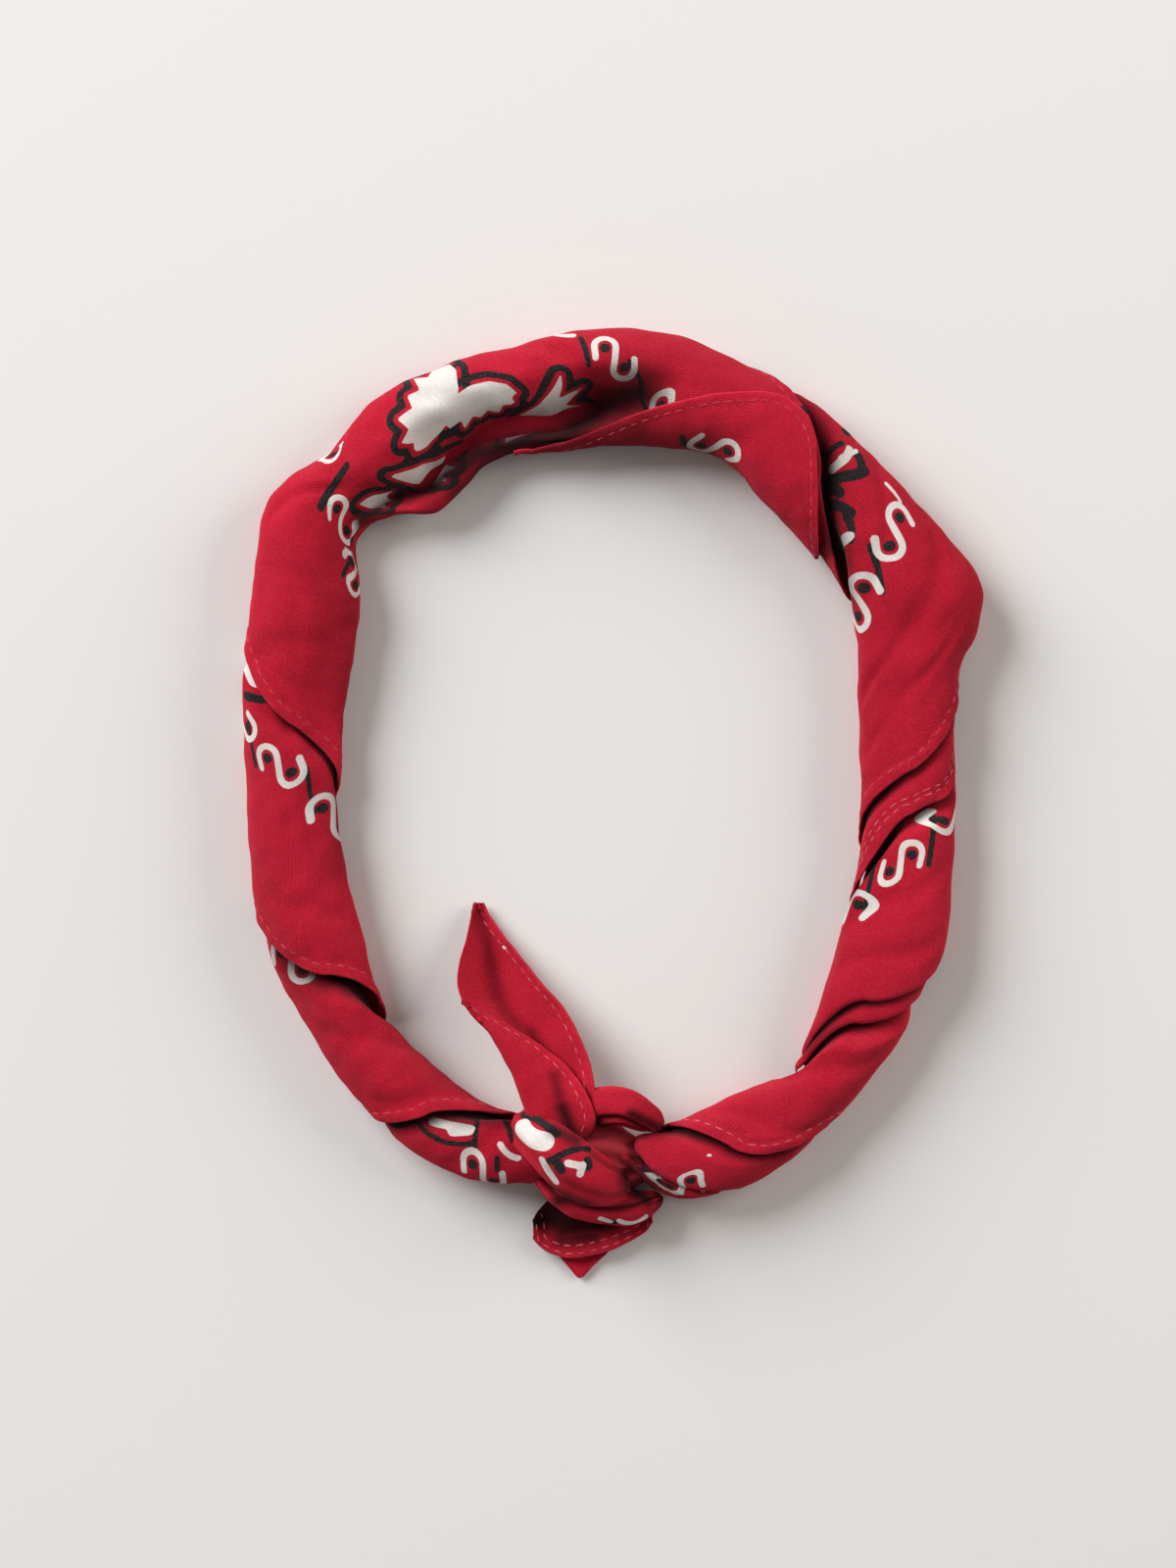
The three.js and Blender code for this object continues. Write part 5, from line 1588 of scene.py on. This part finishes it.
# The cloth's soft waves: their size in mm, their share of the set height, and what is added
# to the length of the node's name for their seed.
WAVES = ((21.0, 1, 0), (8.0, 0.45, 5))


def build(scene, node, cloth, sewn_axis=None, insets=None, inside=False):
    """A ply with its stitches, in its CAD node's place.

    sewn_axis is the axis of the grid that runs away from the stitched hem, and insets are the
    distances of its rows of stitches from the edge, in mm.
    """
    settings, sewing = scene.bandana_cloth, scene.bandana_stitches
    print_cloth, painted_shade_copy = materials(scene)
    thread = bpy.data.materials["sewing_thread" if node in PALE_SEAMS else "hidden_thread"]
    for size, share, more in WAVES:
        cloth.drape(settings.unevenness * share, size, len(node) + more)
    cloth.shape_edge(settings)
    # Hidden pieces take the darker copy of the cotton, whose darkness is painted shade.
    piece = shell(node + "_cloth", cloth, settings, painted_shade_copy if inside else print_cloth)
    sewn = []
    if sewn_axis is not None:
        for inset in insets or (settings.stitch_inset,):
            sewn += stitch_rows(cloth, inset, sewn_axis, sewing)
    rows = [sew(node + "_stitches", sewn, sewing, thread)] if sewn else []
    place_piece(piece, node)


class BandanaCloth(PropertyGroup):
    """The cloth's sizes and colours. Lengths are plain numbers in mm."""

    around: IntProperty(
        name="Around",
        description="Columns of points round the band",
        default=140, min=32, max=200,
    )
    spacing: FloatProperty(
        name="Spacing",
        description="Distance between rows of points, mm",
        default=0.8, min=0.5, max=4,
    )
    ply: FloatProperty(
        name="Ply",
        description="Thickness of one ply as drawn, mm",
        default=0.55, min=0.2, max=1.2,
    )
    hem_width: FloatProperty(
        name="Hem width",
        description="Width of the rolled hem, mm",
        default=3.8, min=2, max=8,
    )
    hem_rise: FloatProperty(
        name="Hem rise",
        description="How far the turned hem stands up, mm",
        default=0.32, min=0, max=1.5,
    )
    edge_radius: FloatProperty(
        name="Edge radius",
        description="Rounding of the hem's edge, mm",
        default=0.6, min=0.1, max=1,
    )
    fold_radius: FloatProperty(
        name="Fold radius",
        description="Rounding of a plain fold's edge, mm",
        default=1.5, min=0.1, max=4,
    )
    stitch_inset: FloatProperty(
        name="Stitch inset",
        description="Distance of the stitches from the edge, mm",
        default=2.9, min=1, max=6,
    )
    stitch_pull: FloatProperty(
        name="Stitch pull",
        description="How far the stitches pull the cloth in, mm",
        default=0.22, min=0, max=0.6,
    )
    fold_depth: FloatProperty(
        name="Fold depth",
        description="Share of the fine folds' depth",
        default=1.0, min=0, max=2,
    )
    unevenness: FloatProperty(
        name="Unevenness",
        description="Height of the cloth's soft waves, mm",
        default=0.28, min=0, max=1,
    )
    bundle_rows: IntProperty(
        name="Bundle rows",
        description="Rows of points along a bundle of the knot",
        default=90, min=20, max=200,
    )
    bundle_sides: IntProperty(
        name="Bundle sides",
        description="Points round a bundle of the knot",
        default=80, min=16, max=160,
    )
    thread_pitch: FloatProperty(
        name="Thread pitch",
        description="Distance between threads of the weave, mm",
        default=0.85, min=0.2, max=2,
    )
    weave_strength: FloatProperty(
        name="Weave strength",
        description="Strength of the weave's relief",
        default=0.9, min=0, max=1, subtype="FACTOR",
    )
    roughness: FloatProperty(
        name="Roughness",
        description="Roughness of the cotton",
        default=0.88, min=0, max=1, subtype="FACTOR",
    )
    sheen: FloatProperty(
        name="Sheen",
        description="Fuzz that catches the light at a slant",
        default=0.05, min=0, max=1, subtype="FACTOR",
    )
    # How far the painted shade darkens the colour.
    painted_shade_strength: FloatProperty(
        name="Gloom",
        description="How dark the cloth is deep in its folds",
        default=0.97, min=0, max=1, subtype="FACTOR",
    )
    print_softness: FloatProperty(
        name="Print softness",
        description="Half width of the print's soft edge, mm",
        default=0.12, min=0.02, max=0.6,
    )
    deep_red: FloatVectorProperty(
        name="Deep red",
        description="The cloth's darker red",
        subtype="COLOR", default=(0.43, 0.004, 0.018), min=0, max=1,
    )
    bright_red: FloatVectorProperty(
        name="Bright red",
        description="The cloth's brighter red",
        subtype="COLOR", default=(0.49, 0.006, 0.026), min=0, max=1,
    )
    # Worn edges, partly a painted highlight, and the grain's lighter threads.
    faded_and_highlight_red: FloatVectorProperty(
        name="Faded red",
        description="Worn edges and the grain's lights",
        subtype="COLOR", default=(0.74, 0.04, 0.08), min=0, max=1,
    )
    # The hidden layers' darkest red, a painted shade of the same cloth.
    inside_red_in_painted_shade: FloatVectorProperty(
        name="Inside red",
        description="The hidden layers",
        subtype="COLOR", default=(0.14, 0.003, 0.008), min=0, max=1,
    )


class BandanaStitches(PropertyGroup):
    """The stitches' sizes and colours. Lengths are plain numbers in mm."""

    stitch_pitch: FloatProperty(
        name="Stitch pitch",
        description="Distance from stitch to stitch, mm",
        default=3.4, min=1, max=8,
    )
    stitch_length: FloatProperty(
        name="Stitch length",
        description="Length of one stitch, mm",
        default=2.5, min=0.5, max=6,
    )
    stitch_width: FloatProperty(
        name="Stitch width",
        description="Width of one stitch, mm",
        default=0.42, min=0.1, max=2,
    )
    stitch_height: FloatProperty(
        name="Stitch height",
        description="Height of one stitch, mm",
        default=0.3, min=0.1, max=2,
    )
    unevenness: FloatProperty(
        name="Unevenness",
        description="How much smaller the smallest stitch is",
        default=0.22, min=0, max=0.8, subtype="FACTOR",
    )
    # The paler colour is a painted highlight, laid in patches where light would catch the
    # thread.
    thread_highlight: FloatVectorProperty(
        name="Pale thread",
        description="Where the light catches the thread",
        subtype="COLOR", default=(0.62, 0.09, 0.125), min=0, max=1,
    )
    thread_strong: FloatVectorProperty(
        name="Thread",
        description="The thread's own colour",
        subtype="COLOR", default=(0.48, 0.03, 0.06), min=0, max=1,
    )


class BandanaStage(PropertyGroup):
    """The camera and the lights. Lengths are in metres."""

    frame_height: FloatProperty(
        name="Frame height",
        description="Height of what the picture shows",
        default=0.432, min=0.1, max=2, unit="LENGTH",
    )
    camera_height: FloatProperty(
        name="Camera height",
        description="Camera above the band's middle height",
        default=1.25, min=0.3, max=5, unit="LENGTH",
    )
    centre_x: FloatProperty(
        name="Centre X",
        description="Middle of the picture",
        default=-0.0066, min=-1, max=1, unit="LENGTH",
    )
    centre_y: FloatProperty(
        name="Centre Y",
        description="Middle of the picture",
        default=0.0053, min=-1, max=1, unit="LENGTH",
    )
    band_middle: FloatProperty(
        name="Band middle",
        description="Height at which the band's outline lies",
        default=0.009, min=0, max=0.1, unit="LENGTH",
    )
    key_power: FloatProperty(
        name="Key power",
        description="Power of the large window light, W",
        default=205, min=0, max=500,
    )
    fill_power: FloatProperty(
        name="Fill power",
        description="Power of the soft light from the other side, W",
        default=45, min=0, max=500,
    )
    world_strength: FloatProperty(
        name="World strength",
        description="Brightness of the even light all round",
        default=0.22, min=0, max=5,
    )


class BANDANA_OT_crown(Operator):
    """Builds the crown of the band and the loose corner over it"""

    bl_idname = "bandana.crown"
    bl_label = "Crown and corner"

    def execute(self, context):
        scene = context.scene
        settings = scene.bandana_cloth
        build(scene, "crown", crown_cloth(settings), sewn_axis=0)
        build(scene, "corner_flap", flap_cloth(settings), sewn_axis=1)
        return {"FINISHED"}


class BANDANA_OT_turns(Operator):
    """Builds the stretches of the band from the crown down to the knot, on both sides"""

    bl_idname = "bandana.turns"
    bl_label = "Turns of the band"

    def execute(self, context):
        scene = context.scene
        for row in STRETCHES:
            cloth = stretch_cloth(row, scene.bandana_cloth)
            build(
                scene,
                row["name"],
                cloth,
                sewn_axis=0 if row["hem"] else None,
                insets=DOUBLE_ROWS.get(row["name"]),
            )
        return {"FINISHED"}


class BANDANA_OT_inner_roll(Operator):
    """Builds the hidden layers that show only in the hollows under the hems"""

    bl_idname = "bandana.inner_roll"
    bl_label = "Inner roll"

    def execute(self, context):
        scene = context.scene
        # The hidden layers are drawn in the darker copy of the cotton, as painted shade.
        build(scene, "inner_roll", roll_cloth(), inside=True)
        return {"FINISHED"}


class BANDANA_OT_knot(Operator):
    """Builds the wraps and loops of the knot"""

    bl_idname = "bandana.knot"
    bl_label = "Knot"

    def execute(self, context):
        scene = context.scene
        for name, creases in BUNDLE_CREASES.items():
            core = name == "knot_core"
            # The knot's core takes the darker copy of the cotton and painted shade all over.
            gloom = CORE_PAINTED_SHADE if core else 0
            cloth = bundle_cloth(KNOT[name], scene.bandana_cloth, creases, gloom)
            build(scene, name, cloth, inside=core)
        return {"FINISHED"}


class BANDANA_OT_tails(Operator):
    """Builds the long tail with its turned-over side, and the plies of the short tail"""

    bl_idname = "bandana.tails"
    bl_label = "Tails"

    def execute(self, context):
        scene = context.scene
        build(scene, "long_tail", long_tail_cloth(), sewn_axis=1)
        build(scene, "long_tail_fold", long_tail_fold_cloth(), sewn_axis=1)
        upper = short_tail_cloth(SHORT_TAIL_UPPER, SHORT_TAIL_CUP)
        build(scene, "short_tail", upper, sewn_axis=1, insets=DOUBLE_ROWS["short_tail"])
        build(scene, "short_tail_under", short_tail_cloth(SHORT_TAIL_UNDER, 0))
        return {"FINISHED"}


# The stage: half the floor's side in metres, the floor's and the room's colours, and the
# lights' places and sizes in metres with their colours.
FLOOR_HALF = 3.0
FLOOR_COLOUR = (0.73, 0.72, 0.71, 1)
ROOM_COLOUR = (1.0, 0.95, 0.90, 1)
SENSOR_WIDTH = 36
LIGHTS = {
    "key": ((-2.5, 2.0, 1.6), 2.6, (1.0, 1.0, 1.0)),
    "fill": ((2.2, 0.9, 1.0), 1.8, (1.0, 0.94, 0.9)),
}


def area_light(name, place, size, colour, power):
    """A round soft light that points at the bandana."""
    light = bpy.data.lights.new(name, "AREA")
    light.shape = "DISK"
    light.size = size
    light.energy = power
    light.color = colour
    lamp = new_object(name, light)
    lamp.location = place
    lamp.rotation_euler = (-Vector(place)).to_track_quat("-Z", "Y").to_euler()


class BANDANA_OT_stage(Operator):
    """Sets the floor, the lights, and the camera straight above the bandana"""

    bl_idname = "bandana.stage"
    bl_label = "Stage"

    def execute(self, context):
        scene = context.scene
        stage = scene.bandana_stage
        mesh = bpy.data.meshes.new("floor")
        turns = ((-1, -1), (1, -1), (1, 1), (-1, 1))
        corners = [(x * FLOOR_HALF, y * FLOOR_HALF, 0) for x, y in turns]
        mesh.from_pydata(corners, [], [(0, 1, 2, 3)])
        floor = new_object("floor", mesh)
        pale = bpy.data.materials.new("floor")
        pale.use_nodes = True
        shader = pale.node_tree.nodes["Principled BSDF"]
        shader.inputs["Base Color"].default_value = FLOOR_COLOUR
        shader.inputs["Roughness"].default_value = 0.95
        mesh.materials.append(pale)

        camera = bpy.data.cameras.new("camera")
        camera.sensor_width = SENSOR_WIDTH
        camera.lens = SENSOR_WIDTH / 2 / (stage.frame_height / 2 / stage.camera_height)
        camera.clip_start = 0.05
        camera.clip_end = 20
        viewer = new_object("camera", camera)
        height = stage.camera_height + stage.band_middle
        viewer.location = (stage.centre_x, stage.centre_y, height)
        scene.camera = viewer

        area_light("key", *LIGHTS["key"], stage.key_power)
        area_light("fill", *LIGHTS["fill"], stage.fill_power)
        world = bpy.data.worlds.new("studio")
        world.use_nodes = True
        background = world.node_tree.nodes["Background"]
        background.inputs["Color"].default_value = ROOM_COLOUR
        background.inputs["Strength"].default_value = stage.world_strength
        scene.world = world
        scene.view_settings.view_transform = "Standard"
        return {"FINISHED"}


class BANDANA_PT_panel(Panel):
    """Lists the steps that build the bandana, and their settings"""

    bl_idname = "BANDANA_PT_panel"
    bl_label = "Knotted bandana"
    bl_space_type = "VIEW_3D"
    bl_region_type = "UI"
    bl_category = "Bandana"

    def draw(self, context):
        layout = self.layout
        scene = context.scene
        for operator in OPERATORS:
            layout.operator(operator.bl_idname)
        for group in (scene.bandana_cloth, scene.bandana_stitches, scene.bandana_stage):
            box = layout.box()
            for name in group.__annotations__:
                box.prop(group, name)


GROUPS = (BandanaCloth, BandanaStitches, BandanaStage)
OPERATORS = (
    BANDANA_OT_stage,
    BANDANA_OT_inner_roll,
    BANDANA_OT_crown,
    BANDANA_OT_turns,
    BANDANA_OT_knot,
    BANDANA_OT_tails,
)


def register():
    """Makes the settings, the steps and the panel known to Blender."""
    for item in (*GROUPS, *OPERATORS, BANDANA_PT_panel):
        bpy.utils.register_class(item)
    bpy.types.Scene.bandana_cloth = PointerProperty(type=BandanaCloth)
    bpy.types.Scene.bandana_stitches = PointerProperty(type=BandanaStitches)
    bpy.types.Scene.bandana_stage = PointerProperty(type=BandanaStage)


def unregister():
    """Takes them away again."""
    del bpy.types.Scene.bandana_cloth
    del bpy.types.Scene.bandana_stitches
    del bpy.types.Scene.bandana_stage
    for item in reversed((*GROUPS, *OPERATORS, BANDANA_PT_panel)):
        bpy.utils.unregister_class(item)


def main():
    """Builds the bandana step by step."""
    register()
    bpy.ops.bandana.stage()
    bpy.ops.bandana.inner_roll()
    bpy.ops.bandana.crown()
    bpy.ops.bandana.turns()
    bpy.ops.bandana.knot()
    bpy.ops.bandana.tails()


if __name__ == "__main__":
    main()
